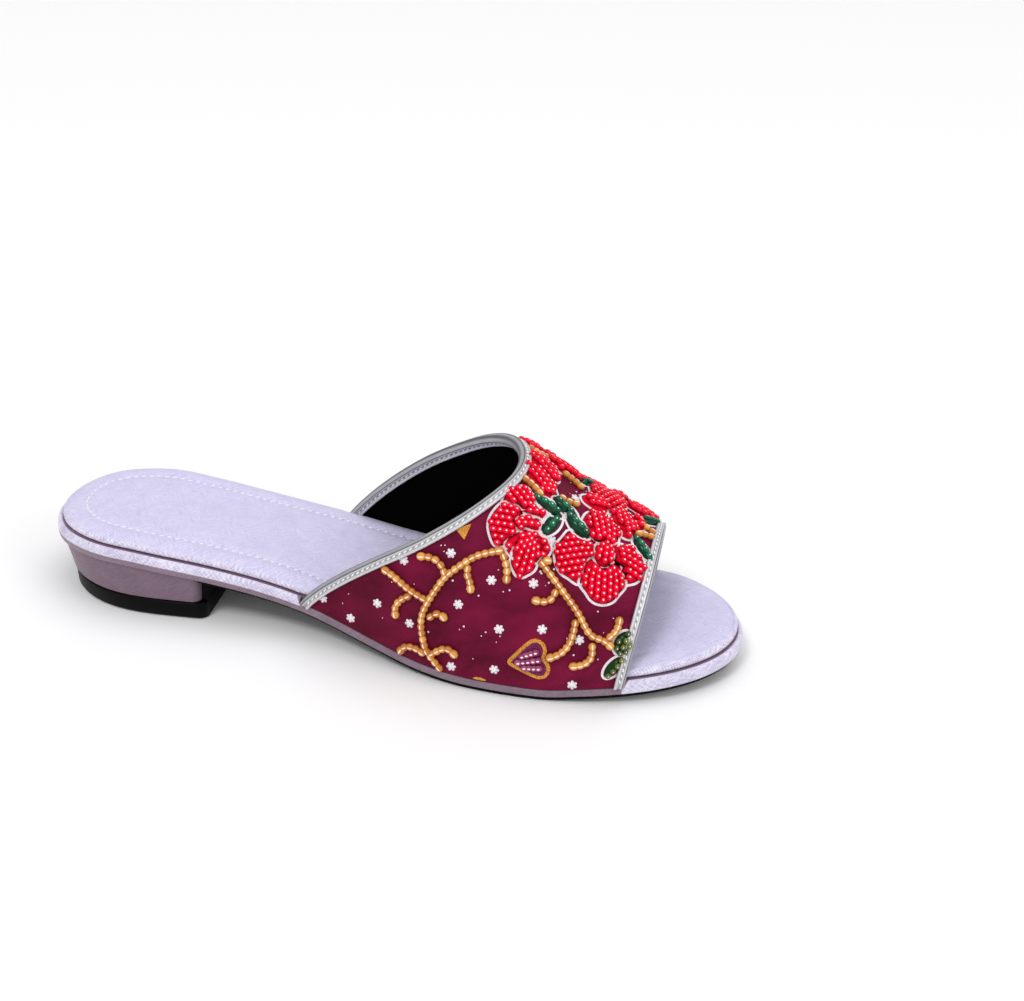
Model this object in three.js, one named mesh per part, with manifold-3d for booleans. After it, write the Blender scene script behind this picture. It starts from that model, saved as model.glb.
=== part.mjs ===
// A left slide mule with a low covered heel: black outsole and heel lift, lilac covered
// board and padded sock, a domed vamp open at the back and at the toe, silver bound
// edges, and raised beadwork on the vamp.
// Millimetres, +Z up. While modelling, x runs from the back of the heel to the toe,
// -y is the medial side (the big toe's) and +y the lateral side.
import * as THREE from "three";
import { mergeVertices } from "three/addons/utils/BufferGeometryUtils.js";
import Module from "manifold-3d";

const wasm = await Module();
wasm.setup();

// Sole
const boardLength = 252.5;
const ballWidth = 86;
const seatHeight = 20; // floor to the outsole's line under the heel seat
const toeSpring = 5;
const outsoleThickness = 1.8;
const outsoleInset = 1.1; // the outsole stops short of the board's rim
const outsoleEdgeRound = 0.7;
const boardThickness = 4.6;
const sockThickness = 3.7;
const bondGap = 0.3; // between any two pieces that are cemented together

// Heel
const heelLength = 61;
const liftThickness = 7;
const blockTopInset = 1.6;
const blockFootInset = 3;
const backRake = 2.4; // how far the heel's back leans in towards the floor
const breastCornerRadius = 3.5;
const flapInset = 3; // of the breast flap, in from the heel's sides
const flapRound = 9; // where the flap turns into the waist

// Vamp
const wall = 1.6;
const vampInset = 0.2; // the vamp's face, in from the board's rim
const sockClearance = 0.4; // between the vamp's lining and the sock
const ledgeDepth = 2; // the rebate in the board's rim that the vamp sits in
const ledgeEndClearance = 2.6;
const instepHeight = 70; // crest of the section that stands at the throat
const crestToMedial = 3;

// Bound edges
const bindingSkin = 0.8;
const bindingFlap = 1.9;
const bindingTail = 6; // cut off level with the rebate

// Beadwork
const beadRise = 1.7;
const strandWidth = 2.4;
const collarMargin = 3.4; // of the vamp's face that the beadwork leaves free
const toeMargin = 2.6;

// Resolution
const soleStations = 36;
const vampColumns = 12;
const vampRows = 34; // the bound edges share them
const slopeStep = 1e-3; // either side, where a slope is measured
const pathSamples = 30; // to measure a bead string's length

// Half widths of the board, as shares of the ball width, at shares of its length.
const outlineRows = [
  { along: 0.03, medial: 0.221, lateral: 0.232 },
  { along: 0.07, medial: 0.308, lateral: 0.313 },
  { along: 0.13, medial: 0.356, lateral: 0.359 },
  { along: 0.2, medial: 0.352, lateral: 0.368 },
  { along: 0.3, medial: 0.328, lateral: 0.375 },
  { along: 0.4, medial: 0.34, lateral: 0.395 },
  { along: 0.5, medial: 0.41, lateral: 0.426 },
  { along: 0.6, medial: 0.486, lateral: 0.461 },
  { along: 0.7, medial: 0.513, lateral: 0.487 },
  { along: 0.8, medial: 0.486, lateral: 0.475 },
  { along: 0.88, medial: 0.416, lateral: 0.414 },
  { along: 0.94, medial: 0.312, lateral: 0.313 },
  { along: 0.98, medial: 0.186, lateral: 0.188 },
];

// Height of the outsole's underside: shares of the seat height and of the toe spring.
const floorRows = [
  { along: 0, seat: 0.92, spring: 0 },
  { along: 0.07, seat: 0.985, spring: 0 },
  { along: 0.13, seat: 1, spring: 0 },
  { along: 0.2, seat: 0.92, spring: 0 },
  { along: 0.3, seat: 0.74, spring: 0 },
  { along: 0.4, seat: 0.52, spring: 0 },
  { along: 0.5, seat: 0.235, spring: 0 },
  { along: 0.58, seat: 0.05, spring: 0 },
  { along: 0.64, seat: 0, spring: 0 },
  { along: 0.74, seat: 0, spring: 0 },
  { along: 0.8, seat: 0, spring: 0.28 },
  { along: 0.88, seat: 0, spring: 0.61 },
  { along: 1, seat: 0, spring: 1 },
];

// Crest height of the vamp's cross-sections, as a share of the instep height.
const crestRows = [
  { along: 0.33, crest: 1.32 },
  { along: 0.45, crest: 1.2 },
  { along: 0.56, crest: 1.085 },
  { along: 0.66, crest: 0.965 },
  { along: 0.76, crest: 0.76 },
  { along: 0.88, crest: 0.53 },
];

// The vamp's two cut edges round the section, from the medial side (0) over the crest
// to the lateral side (1), as shares of the board's length.
const edgeRows = [
  { around: 0, collar: 0.4, toe: 0.849 },
  { around: 0.25, collar: 0.609, toe: 0.865 },
  { around: 0.5, collar: 0.68, toe: 0.87 },
  { around: 0.75, collar: 0.587, toe: 0.864 },
  { around: 1, collar: 0.397, toe: 0.851 },
];

// The beadwork of the medial half, which the lateral half mirrors. Places are shares of
// the way from the collar to the toe edge, and of the way round as above.
// Petals and leaves run from base to tip. fullness moves the widest place to the tip.
const lobes = [
  { motif: "flower_back", base: [0.28, 0.335], tip: [0.05, 0.378], width: 9, fullness: 1.3 },
  { motif: "flower_back", base: [0.19, 0.35], tip: [0.28, 0.369], width: 4.6, fullness: 1.3 },
  { motif: "flower_back", base: [0.33, 0.305], tip: [0.13, 0.286], width: 11, fullness: 1.3 },
  { motif: "flower_back", base: [0.2, 0.308], tip: [0.32, 0.338], width: 5, fullness: 1.4 },
  { motif: "flower_back", base: [0.27, 0.262], tip: [0.42, 0.292], width: 10, fullness: 1 },
  { motif: "flower_back", base: [0.29, 0.3], tip: [0.43, 0.217], width: 5.6, fullness: 1 },
  { motif: "flower_back", base: [0.18, 0.325], tip: [0.34, 0.31], width: 8, fullness: 1 },
  { motif: "flower_front", base: [0.71, 0.345], tip: [0.54, 0.466], width: 11, fullness: 1.6 },
  { motif: "flower_front", base: [0.73, 0.352], tip: [0.51, 0.284], width: 13, fullness: 1.6 },
  { motif: "flower_front", base: [0.69, 0.36], tip: [0.82, 0.22], width: 12, fullness: 1.6 },
  { motif: "flower_front", base: [0.67, 0.352], tip: [0.95, 0.34], width: 12, fullness: 1.6 },
  { motif: "sprig", base: [0.41, 0.392], tip: [0.2, 0.398], width: 4, fullness: 0.9 },
  { motif: "sprig", base: [0.43, 0.402], tip: [0.27, 0.424], width: 3.6, fullness: 1 },
  { motif: "sprig", base: [0.37, 0.4], tip: [0.53, 0.386], width: 3.6, fullness: 0.9 },
  { motif: "heart", base: [0.745, 0.062], tip: [0.63, 0.044], width: 13, fullness: 1.8 },
];

// Bead strings, through the places they pass.
const strands = [
  {
    motif: "vine_back",
    through: [
      [0.45, 0.006],
      [0.4, 0.02],
      [0.34, 0.042],
      [0.28, 0.074],
      [0.24, 0.11],
      [0.21, 0.15],
      [0.2, 0.182],
      [0.21, 0.212],
      [0.27, 0.228],
      [0.35, 0.218],
      [0.4, 0.192],
    ],
  },
  { motif: "vine_back", through: [[0.24, 0.1], [0.15, 0.107], [0.05, 0.113]] },
  { motif: "vine_back", through: [[0.21, 0.155], [0.13, 0.172], [0.08, 0.172]] },
  { motif: "vine_back", through: [[0.275, 0.078], [0.31, 0.09], [0.35, 0.086]] },
  {
    motif: "vine_front",
    through: [
      [0.46, 0.253],
      [0.56, 0.236],
      [0.68, 0.204],
      [0.77, 0.17],
      [0.85, 0.135],
      [0.93, 0.116],
    ],
  },
  { motif: "vine_front", through: [[0.58, 0.23], [0.6, 0.197], [0.55, 0.179]] },
  { motif: "vine_front", through: [[0.73, 0.18], [0.77, 0.127], [0.77, 0.09]] },
  { motif: "vine_front", through: [[0.85, 0.135], [0.875, 0.08], [0.83, 0.061]] },
  { motif: "vine_front", through: [[0.89, 0.124], [0.925, 0.16], [0.92, 0.19]] },
];

// Squareness of the section: 2 is an ellipse.
const sectionPowerAtCollar = 2.2;
const sectionPowerAtToe = 2;

// Natural cubic spline through (xs, ys).
function naturalSpline(xs, ys) {
  const last = xs.length - 1;
  const bend = new Array(last + 1).fill(0);
  const ratio = new Array(last + 1).fill(0);
  for (let i = 1; i < last; i++) {
    const before = xs[i] - xs[i - 1];
    const after = xs[i + 1] - xs[i];
    const turn = (ys[i + 1] - ys[i]) / after - (ys[i] - ys[i - 1]) / before;
    const pivot = 2 * (before + after) - before * ratio[i - 1];
    ratio[i] = after / pivot;
    bend[i] = (6 * turn - before * bend[i - 1]) / pivot;
  }
  for (let i = last - 1; i > 0; i--) bend[i] -= ratio[i] * bend[i + 1];
  return (x) => {
    let i = 0;
    while (i < last - 1 && x > xs[i + 1]) i++;
    const span = xs[i + 1] - xs[i];
    const a = (xs[i + 1] - x) / span;
    const b = 1 - a;
    const curve = ((a ** 3 - a) * bend[i] + (b ** 3 - b) * bend[i + 1]) * (span ** 2 / 6);
    return a * ys[i] + b * ys[i + 1] + curve;
  };
}

// Monotone cubic through (xs, ys), which keeps a level stretch level.
function levelSpline(xs, ys) {
  const last = xs.length - 1;
  const rise = xs.slice(1).map((x, i) => (ys[i + 1] - ys[i]) / (x - xs[i]));
  const slope = xs.map((x, i) => {
    if (i === 0 || i === last || rise[i - 1] * rise[i] <= 0) return 0;
    return 2 / (1 / rise[i - 1] + 1 / rise[i]);
  });
  slope[last] = rise[last - 1];
  return (x) => {
    let i = 0;
    while (i < last - 1 && x > xs[i + 1]) i++;
    const span = xs[i + 1] - xs[i];
    const t = THREE.MathUtils.clamp((x - xs[i]) / span, 0, 1);
    const s = 1 - t;
    return (
      ys[i] * s * s * (1 + 2 * t) +
      ys[i + 1] * t * t * (1 + 2 * s) +
      span * s * t * (slope[i] * s - slope[i + 1] * t)
    );
  };
}

// The outline is worked out over an angle, 0 at the heel's back and PI at the toe's
// tip, so that both ends come out round.
const angleAt = (x) => Math.acos(THREE.MathUtils.clamp(1 - (2 * x) / boardLength, -1, 1));
const outlineAngles = [0, ...outlineRows.map((r) => angleAt(r.along * boardLength)), Math.PI];
const outlineSide = (side) =>
  naturalSpline(outlineAngles, [0, ...outlineRows.map((r) => r[side] * ballWidth), 0]);
const halfWidthOf = { medial: outlineSide("medial"), lateral: outlineSide("lateral") };
const signOf = { medial: -1, lateral: 1 };

const floorAt = levelSpline(
  floorRows.map((r) => r.along * boardLength),
  floorRows.map((r) => r.seat * seatHeight + r.spring * toeSpring),
);

// A point on the board's outline, moved outset mm along the outline's normal.
function outlinePoint(angle, side, outset) {
  const at = (a) =>
    new THREE.Vector2(
      (boardLength / 2) * (1 - Math.cos(a)),
      signOf[side] * halfWidthOf[side](a),
    );
  if (angle === 0) return new THREE.Vector2(-outset, 0);
  if (angle === Math.PI) return new THREE.Vector2(boardLength + outset, 0);
  const tangent = at(angle + slopeStep).sub(at(angle - slopeStep)).normalize();
  const normal = new THREE.Vector2(tangent.y, -tangent.x).multiplyScalar(-signOf[side]);
  return at(angle).addScaledVector(normal, outset);
}

// Half width of the outline at x, with the outset taken across the outline.
function halfWidthAt(x, side, outset) {
  const width = (at) => halfWidthOf[side](angleAt(at));
  const slope = (width(x + slopeStep) - width(x - slopeStep)) / (2 * slopeStep);
  return width(x) + outset * Math.hypot(1, slope);
}

// Closed meshes, booleans
function geometryOf(points, triangles) {
  const positions = new Float32Array(points.flatMap((p) => [p.x, p.y, p.z]));
  return new THREE.BufferGeometry()
    .setAttribute("position", new THREE.BufferAttribute(positions, 3))
    .setIndex(triangles.flat());
}

function solidOf(geometry) {
  const bare = new THREE.BufferGeometry()
    .setAttribute("position", geometry.getAttribute("position"))
    .setIndex(geometry.getIndex());
  const merged = mergeVertices(bare, 1e-3);
  return new wasm.Manifold(
    new wasm.Mesh({
      numProp: 3,
      vertProperties: new Float32Array(merged.attributes.position.array),
      triVerts: new Uint32Array(merged.index.array),
    }),
  );
}

function geometryFrom(solid) {
  const mesh = solid.getMesh();
  const positions = new Float32Array(mesh.numVert * 3);
  for (let i = 0; i < mesh.numVert; i++) {
    const from = i * mesh.numProp;
    positions.set(mesh.vertProperties.subarray(from, from + 3), i * 3);
  }
  return new THREE.BufferGeometry()
    .setAttribute("position", new THREE.BufferAttribute(positions, 3))
    .setIndex([...mesh.triVerts]);
}

// A closed body from rings of equal count that go round counter-clockwise seen from
// above, lowest ring first. The two ends are closed with strips from side to side.
function stackRings(rings) {
  const count = rings[0].length;
  const triangles = [];
  rings.slice(1).forEach((ring, level) => {
    const low = level * count;
    const high = low + count;
    for (let k = 0; k < count; k++) {
      const next = (k + 1) % count;
      triangles.push([low + k, low + next, high + next], [low + k, high + next, high + k]);
    }
  });
  const top = (rings.length - 1) * count;
  const cap = (a, b, c) => triangles.push([top + a, top + b, top + c], [c, b, a]);
  cap(0, 1, count - 1);
  for (let k = 1; k + 1 <= count - k - 1; k++) {
    cap(k, k + 1, count - k);
    if (k + 1 < count - k - 1) cap(k + 1, count - k - 1, count - k);
  }
  return geometryOf(rings.flat(), triangles);
}

// A ring on the sole: outset from the board's outline, lift above the floor line.
function soleRing(outset, lift) {
  const angles = Array.from({ length: soleStations + 1 }, (_, i) => (Math.PI * i) / soleStations);
  const loop = [
    ...angles.map((a) => outlinePoint(a, "medial", outset)),
    ...angles.slice(1, -1).reverse().map((a) => outlinePoint(a, "lateral", outset)),
  ];
  return loop.map((p) => new THREE.Vector3(p.x, p.y, floorAt(p.x) + lift));
}

function block(x0, x1, y0, y1, z0, z1) {
  const box = new THREE.BoxGeometry(x1 - x0, y1 - y0, z1 - z0);
  return solidOf(box.translate((x0 + x1) / 2, (y0 + y1) / 2, (z0 + z1) / 2));
}

// The board's rim past the sock
const rimStandOut = vampInset + wall + sockClearance;

// Levels above the floor line
const boardBottom = outsoleThickness + bondGap;
const boardTop = boardBottom + boardThickness;
const ledgeTop = boardTop - ledgeDepth;
const sockBottom = boardTop + bondGap;
const farOut = 2 * ballWidth;

// Where the vamp's base starts and ends along the board
const edgeAt = (edge) =>
  naturalSpline(
    edgeRows.map((r) => r.around * Math.PI),
    edgeRows.map((r) => r[edge] * boardLength),
  );
const edgeOf = { collar: edgeAt("collar"), toe: edgeAt("toe") };
const ledgeStart = Math.min(edgeOf.collar(0), edgeOf.collar(Math.PI)) - ledgeEndClearance;
const ledgeEnd = Math.max(edgeOf.toe(0), edgeOf.toe(Math.PI)) + ledgeEndClearance;

// Covered board. Grown, it is what trims the bound edges.
function makeBoard(grow) {
  const low = boardBottom - grow;
  const high = boardTop + grow;
  const rim = [
    [-1.3, 0],
    [-0.35, 0.17],
    [0, 0.5],
    [-0.35, 0.83],
    [-1.5, 1],
  ];
  const body = rim.map(([outset, share]) => soleRing(outset + grow, low + share * (high - low)));
  const rebateOuter = [ledgeTop + grow, farOut].map((lift) => soleRing(rimStandOut, lift));
  const rebateInner = [0, 2 * farOut].map((lift) => soleRing(grow - rimStandOut, lift));
  const rebate = solidOf(stackRings(rebateOuter))
    .subtract(solidOf(stackRings(rebateInner)))
    .intersect(block(ledgeStart + grow, ledgeEnd - grow, -farOut, farOut, -farOut, farOut));
  return solidOf(stackRings(body)).subtract(rebate);
}

// Padded sock: flat underneath, with a soft rounded edge.
function makeSock() {
  const edge = [
    [-0.5, 0],
    [0, 0.3],
    [-0.15, 0.6],
    [-1, 0.86],
    [-2.6, 1],
  ];
  const rings = edge.map(([outset, share]) =>
    soleRing(outset - rimStandOut, sockBottom + share * sockThickness),
  );
  return solidOf(stackRings(rings));
}

// The heel's plan at one level: the board's outline up to the breast, with round
// corners. rake leans the back in.
const blockTopAt = (x) => floorAt(x) + boardBottom - bondGap;

function heelRing(inset, rake, length, heightAt) {
  const sideSteps = 12;
  const cornerSteps = 4;
  const straight = length - breastCornerRadius;
  const side = (name) => {
    const points = [];
    for (let i = 1; i <= sideSteps; i++)
      points.push(outlinePoint((angleAt(straight) * i) / sideSteps, name, -inset));
    const end = points[points.length - 1];
    const centre = new THREE.Vector2(end.x, end.y - signOf[name] * breastCornerRadius);
    const reach = length - end.x;
    for (let i = 1; i <= cornerSteps; i++) {
      const turn = (Math.PI / 2) * (i / cornerSteps);
      points.push(
        new THREE.Vector2(
          centre.x + reach * Math.sin(turn),
          centre.y + signOf[name] * breastCornerRadius * Math.cos(turn),
        ),
      );
    }
    return points;
  };
  const loop = [new THREE.Vector2(inset, 0), ...side("medial"), ...side("lateral").reverse()];
  return loop.map((p) => {
    const x = p.x + rake * (1 - p.x / length);
    return new THREE.Vector3(x, p.y, heightAt(x));
  });
}

function makeHeelBlock() {
  const foot = heelRing(blockFootInset, backRake, heelLength, () => liftThickness + bondGap);
  const top = heelRing(blockTopInset, 0, heelLength, blockTopAt);
  return stackRings([foot, top]);
}

const liftLength = heelLength + bondGap + outsoleThickness;
function makeHeelLift() {
  const footRound = 0.9;
  const lean = 0.6; // the lift goes on leaning in as the block does
  const levels = [
    [blockFootInset + lean + footRound, 0],
    [blockFootInset + lean, footRound],
    [blockFootInset, liftThickness],
  ];
  const rings = levels.map(([inset, height]) =>
    heelRing(inset, backRake + lean, liftLength, () => height),
  );
  return stackRings(rings);
}

// Outsole: from the heel's breast to the toe, with a flap down the breast.
function makeOutsole() {
  const frontStart = heelLength + bondGap;
  const rings = [
    [-outsoleInset - outsoleEdgeRound, 0],
    [-outsoleInset, outsoleEdgeRound],
    [-outsoleInset, outsoleThickness],
  ].map(([outset, lift]) => soleRing(outset, lift));
  const front = block(frontStart, boardLength + farOut, -farOut, farOut, -farOut, farOut);
  const forepart = solidOf(stackRings(rings)).intersect(front);

  const flapFace = frontStart + outsoleThickness;
  const bendEnd = flapFace + flapRound;
  const profile = new THREE.Shape();
  profile.moveTo(frontStart, liftThickness + bondGap);
  profile.lineTo(flapFace, liftThickness + bondGap);
  profile.lineTo(flapFace, floorAt(flapFace) - flapRound / 2);
  profile.quadraticCurveTo(flapFace, floorAt(flapFace), bendEnd, floorAt(bendEnd) + outsoleThickness / 2);
  profile.lineTo(frontStart, blockTopAt(frontStart) - outsoleThickness / 2);
  const breastHalf = (side) =>
    halfWidthAt(heelLength, side, -blockFootInset) - flapInset;
  const depth = breastHalf("medial") + breastHalf("lateral");
  const flap = new THREE.ExtrudeGeometry(profile, { depth, bevelEnabled: false, curveSegments: 5 })
    .rotateX(Math.PI / 2)
    .translate(0, breastHalf("lateral"), 0);
  return forepart.add(solidOf(flap));
}

// Vamp: along is mm from the heel's back, turn goes from 0 at the medial base over the
// crest to PI at the lateral base, and depth is mm in from the outer face, square to it.
const crestAt = naturalSpline(
  crestRows.map((r) => r.along * boardLength),
  crestRows.map((r) => r.crest * instepHeight),
);
const powerRun = [0.35 * boardLength, 0.85 * boardLength];

// A point of the outer face.
function vampFace(along, turn) {
  const power = THREE.MathUtils.mapLinear(
    THREE.MathUtils.clamp(along, ...powerRun),
    ...powerRun,
    sectionPowerAtCollar,
    sectionPowerAtToe,
  );
  const across = Math.cos(turn);
  const side = across > 0 ? "medial" : "lateral";
  const half = halfWidthAt(along, side, -vampInset) + signOf[side] * crestToMedial;
  const base = floorAt(along) + ledgeTop + bondGap;
  const lift = Math.max(Math.sin(turn), 0) ** (2 / power);
  return new THREE.Vector3(
    along,
    signOf[side] * half * Math.abs(across) ** (2 / power) - crestToMedial,
    base + crestAt(along) * lift,
  );
}

function vampNormal(along, turn) {
  const step = slopeStep;
  const inside = THREE.MathUtils.clamp(turn, 2 * step, Math.PI - 2 * step);
  const lengthwise = vampFace(along + step, inside).sub(vampFace(along - step, inside));
  const round = vampFace(along, inside + step).sub(vampFace(along, inside - step));
  return lengthwise.cross(round).normalize();
}

const vampPoint = (along, turn, depth) =>
  vampFace(along, turn).addScaledVector(vampNormal(along, turn), -depth);

// Where a place on the chart lies, with margins left free at the two edges.
function placeOf(share, around, margins = { collar: 0, toe: 0 }) {
  const turn = Math.PI * around;
  const start = edgeOf.collar(turn) + margins.collar;
  const end = edgeOf.toe(turn) - margins.toe;
  return { along: THREE.MathUtils.lerp(start, end, share), turn };
}

// A shell between two depths of the vamp's wall.
function vampShell(outerDepth, innerDepth, margins) {
  const columns = vampColumns;
  const rows = vampRows;
  const points = [];
  const index = (layer, i, j) => (layer * (columns + 1) + i) * (rows + 1) + j;
  for (const depth of [outerDepth, innerDepth])
    for (let i = 0; i <= columns; i++)
      for (let j = 0; j <= rows; j++)
      {
        const { along, turn } = placeOf(i / columns, j / rows, margins);
        points.push(vampPoint(along, turn, depth));
      }
  const triangles = [];
  const quad = (a, b, c, d) => triangles.push([a, b, c], [a, c, d]);
  for (let i = 0; i < columns; i++)
    for (let j = 0; j < rows; j++) {
      quad(index(0, i, j), index(0, i + 1, j), index(0, i + 1, j + 1), index(0, i, j + 1));
      quad(index(1, i, j), index(1, i, j + 1), index(1, i + 1, j + 1), index(1, i + 1, j));
    }
  for (let j = 0; j < rows; j++) {
    quad(index(0, 0, j), index(0, 0, j + 1), index(1, 0, j + 1), index(1, 0, j));
    quad(index(0, columns, j), index(1, columns, j), index(1, columns, j + 1), index(0, columns, j + 1));
  }
  for (let i = 0; i < columns; i++) {
    quad(index(0, i, 0), index(1, i, 0), index(1, i + 1, 0), index(0, i + 1, 0));
    quad(index(0, i, rows), index(0, i + 1, rows), index(1, i + 1, rows), index(1, i, rows));
  }
  return geometryOf(points, triangles);
}

// Bound edge: a folded strip swept round one cut edge of the vamp. inward is +1 where
// the wall lies towards the toe, and grow fattens it to cut clearances with.
function bindingSweep(edge, inward, grow) {
  const inner = wall / 2 + bondGap;
  const outer = inner + bindingSkin + grow;
  const noseSteps = 5;
  const section = [
    [bindingFlap + grow, inner - grow],
    [bindingFlap + grow, outer],
  ];
  for (let i = 0; i <= noseSteps; i++) {
    const turn = Math.PI * (0.5 + i / noseSteps);
    section.push([outer * Math.cos(turn), outer * Math.sin(turn)]);
  }
  section.push([bindingFlap + grow, -outer], [bindingFlap + grow, -inner + grow]);
  section.push([-bondGap, -inner + grow], [-bondGap, inner - grow]);

  const onEdge = (around) => vampPoint(edgeOf[edge](Math.PI * around), Math.PI * around, wall / 2);
  const stations = [];
  const step = slopeStep;
  for (let i = 0; i <= vampRows; i++) {
    const around = THREE.MathUtils.clamp(i / vampRows, step, 1 - step);
    const turn = Math.PI * around;
    const along = edgeOf[edge](turn);
    const tangent = onEdge(around + step).sub(onEdge(around - step)).normalize();
    const normal = vampNormal(along, turn);
    const into = new THREE.Vector3().crossVectors(tangent, normal).multiplyScalar(inward);
    stations.push({ at: onEdge(i / vampRows), tangent, normal, into });
  }
  const first = stations[0];
  const last = stations[stations.length - 1];
  stations.unshift({ ...first, at: first.at.clone().addScaledVector(first.tangent, -bindingTail) });
  stations.push({ ...last, at: last.at.clone().addScaledVector(last.tangent, bindingTail) });

  const points = stations.flatMap((s) =>
    section.map(([b, n]) => s.at.clone().addScaledVector(s.into, b).addScaledVector(s.normal, n)),
  );
  const size = section.length;
  const triangles = [];
  const facing = (a, b, c) => triangles.push(inward > 0 ? [a, b, c] : [a, c, b]);
  for (let i = 0; i + 1 < stations.length; i++)
    for (let k = 0; k < size; k++) {
      const next = (k + 1) % size;
      const here = i * size;
      const there = here + size;
      facing(here + k, there + next, here + next);
      facing(here + k, there + k, there + next);
    }
  const flat = section.map(([b, n]) => new THREE.Vector2(b, n));
  const endStart = (stations.length - 1) * size;
  for (const [a, b, c] of THREE.ShapeUtils.triangulateShape(flat, [])) {
    facing(a, b, c);
    facing(endStart + a, endStart + c, endStart + b);
  }
  return solidOf(geometryOf(points, triangles));
}

function makeBinding(edge, inward, grownBoard) {
  const underLedge = solidOf(
    stackRings([-farOut, ledgeTop + bondGap].map((lift) => soleRing(ballWidth / 4, lift))),
  );
  return bindingSweep(edge, inward, 0).subtract(underLedge).subtract(grownBoard);
}

// Beadwork
const cutterReach = 4; // of a prism, each side of the vamp's face
const chartFrame = ([share, around]) => {
  const { along, turn } = placeOf(share, around);
  return { at: vampPoint(along, turn, 0), normal: vampNormal(along, turn) };
};

// What a petal or leaf cuts out of a thin layer over the vamp's face: a prism along the
// normal half way from base to tip.
function lobeCutter({ base, tip, width, fullness }) {
  const steps = 5;
  const from = chartFrame(base).at;
  const to = chartFrame(tip).at;
  const middle = chartFrame([(base[0] + tip[0]) / 2, (base[1] + tip[1]) / 2]);
  const length = from.distanceTo(to);
  const halfWidth = (t) => (width / 2) * Math.sqrt(Math.sin(Math.PI * t ** fullness));
  const edge = Array.from({ length: steps - 1 }, (_, i) => (i + 1) / steps);
  const outline = new THREE.Shape([
    new THREE.Vector2(0, 0),
    ...edge.map((t) => new THREE.Vector2(length * t, -halfWidth(t))),
    new THREE.Vector2(length, 0),
    ...edge.reverse().map((t) => new THREE.Vector2(length * t, halfWidth(t))),
  ]);
  const forward = to.clone().sub(from).normalize();
  const sideways = new THREE.Vector3().crossVectors(middle.normal, forward).normalize();
  const up = new THREE.Vector3().crossVectors(forward, sideways);
  const prism = new THREE.ExtrudeGeometry(outline, { depth: 2 * cutterReach, bevelEnabled: false })
    .translate(0, 0, -cutterReach)
    .applyMatrix4(new THREE.Matrix4().makeBasis(forward, sideways, up).setPosition(from));
  return solidOf(prism);
}

// A bead string: a band swept along its path, over the vamp's face.
function makeStrand({ through }) {
  const stepLength = 4.5;
  const curve = new THREE.CatmullRomCurve3(
    through.map(([share, around]) => new THREE.Vector3(share, around, 0)),
  );
  const frameAt = (t) => {
    const p = curve.getPoint(t);
    return chartFrame([p.x, p.y]);
  };
  const rough = Array.from({ length: pathSamples + 1 }, (_, i) => frameAt(i / pathSamples).at);
  const length = rough.slice(1).reduce((sum, p, i) => sum + p.distanceTo(rough[i]), 0);
  const steps = Math.max(2, Math.round(length / stepLength));
  const points = [];
  for (let i = 0; i <= steps; i++) {
    const { at, normal } = frameAt(i / steps);
    const before = frameAt(Math.max(i / steps - slopeStep, 0)).at;
    const after = frameAt(Math.min(i / steps + slopeStep, 1)).at;
    const aside = after.sub(before).cross(normal).normalize().multiplyScalar(strandWidth / 2);
    const [low, high] = [bondGap, bondGap + beadRise];
    for (const [across, lift] of [[-1, low], [1, low], [1, high], [-1, high]])
      points.push(at.clone().addScaledVector(aside, across).addScaledVector(normal, lift));
  }
  const triangles = [];
  const quad = (a, b, c, d) => triangles.push([a, b, c], [a, c, d]);
  quad(0, 1, 2, 3);
  for (let i = 0; i < steps; i++)
    for (let k = 0; k < 4; k++) {
      const next = (k + 1) % 4;
      quad(4 * i + k, 4 * i + 4 + k, 4 * i + 4 + next, 4 * i + next);
    }
  quad(4 * steps + 3, 4 * steps + 2, 4 * steps + 1, 4 * steps);
  return solidOf(geometryOf(points, triangles));
}

function makeMotif(motif, layer, half) {
  const mirror = ([share, around]) => [share, half === "lateral" ? 1 - around : around];
  const solids = [
    ...lobes
      .filter((l) => l.motif === motif)
      .map((l) => lobeCutter({ ...l, base: mirror(l.base), tip: mirror(l.tip) }).intersect(layer)),
    ...strands
      .filter((s) => s.motif === motif)
      .map((s) => makeStrand({ through: s.through.map(mirror) })),
  ];
  return solids.reduce((sum, solid) => sum.add(solid));
}

// The shoe
const lilac = { color: 0xcfc8e8, roughness: 0.55, metalness: 0 };
const mauve = { color: 0x8f7f93, roughness: 0.5, metalness: 0 };
const blackRubber = { color: 0x111111, roughness: 0.6, metalness: 0 };
const burgundy = { color: 0x4d0f2e, roughness: 0.6, metalness: 0 };
const silver = { color: 0xc4c4c6, roughness: 0.3, metalness: 0.7 };

const redBeads = { color: 0xc8102e, roughness: 0.2, metalness: 0 };
const greenBeads = { color: 0x0c5a3c, roughness: 0.2, metalness: 0 };
const goldBeads = { color: 0xc98a2b, roughness: 0.25, metalness: 0.2 };

const shoe = new THREE.Group();
function place(name, shape, finish) {
  const geometry = shape.isBufferGeometry ? shape : geometryFrom(shape);
  const mesh = new THREE.Mesh(geometry, new THREE.MeshStandardMaterial(finish));
  mesh.name = name;
  shoe.add(mesh);
}

const grownBoard = makeBoard(bondGap);
const edges = [
  { name: "collar_binding", edge: "collar", inward: 1 },
  { name: "toe_binding", edge: "toe", inward: -1 },
];
let sock = makeSock();
for (const { edge, inward } of edges) sock = sock.subtract(bindingSweep(edge, inward, bondGap));

place("outsole", makeOutsole(), blackRubber);
place("heel_lift", makeHeelLift(), blackRubber);
place("heel_block", makeHeelBlock(), mauve);
place("sole_board", makeBoard(0), lilac);
place("sock", sock, lilac);
place("vamp", vampShell(0, wall), burgundy);
for (const { name, edge, inward } of edges)
  place(name, makeBinding(edge, inward, grownBoard), silver);

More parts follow.
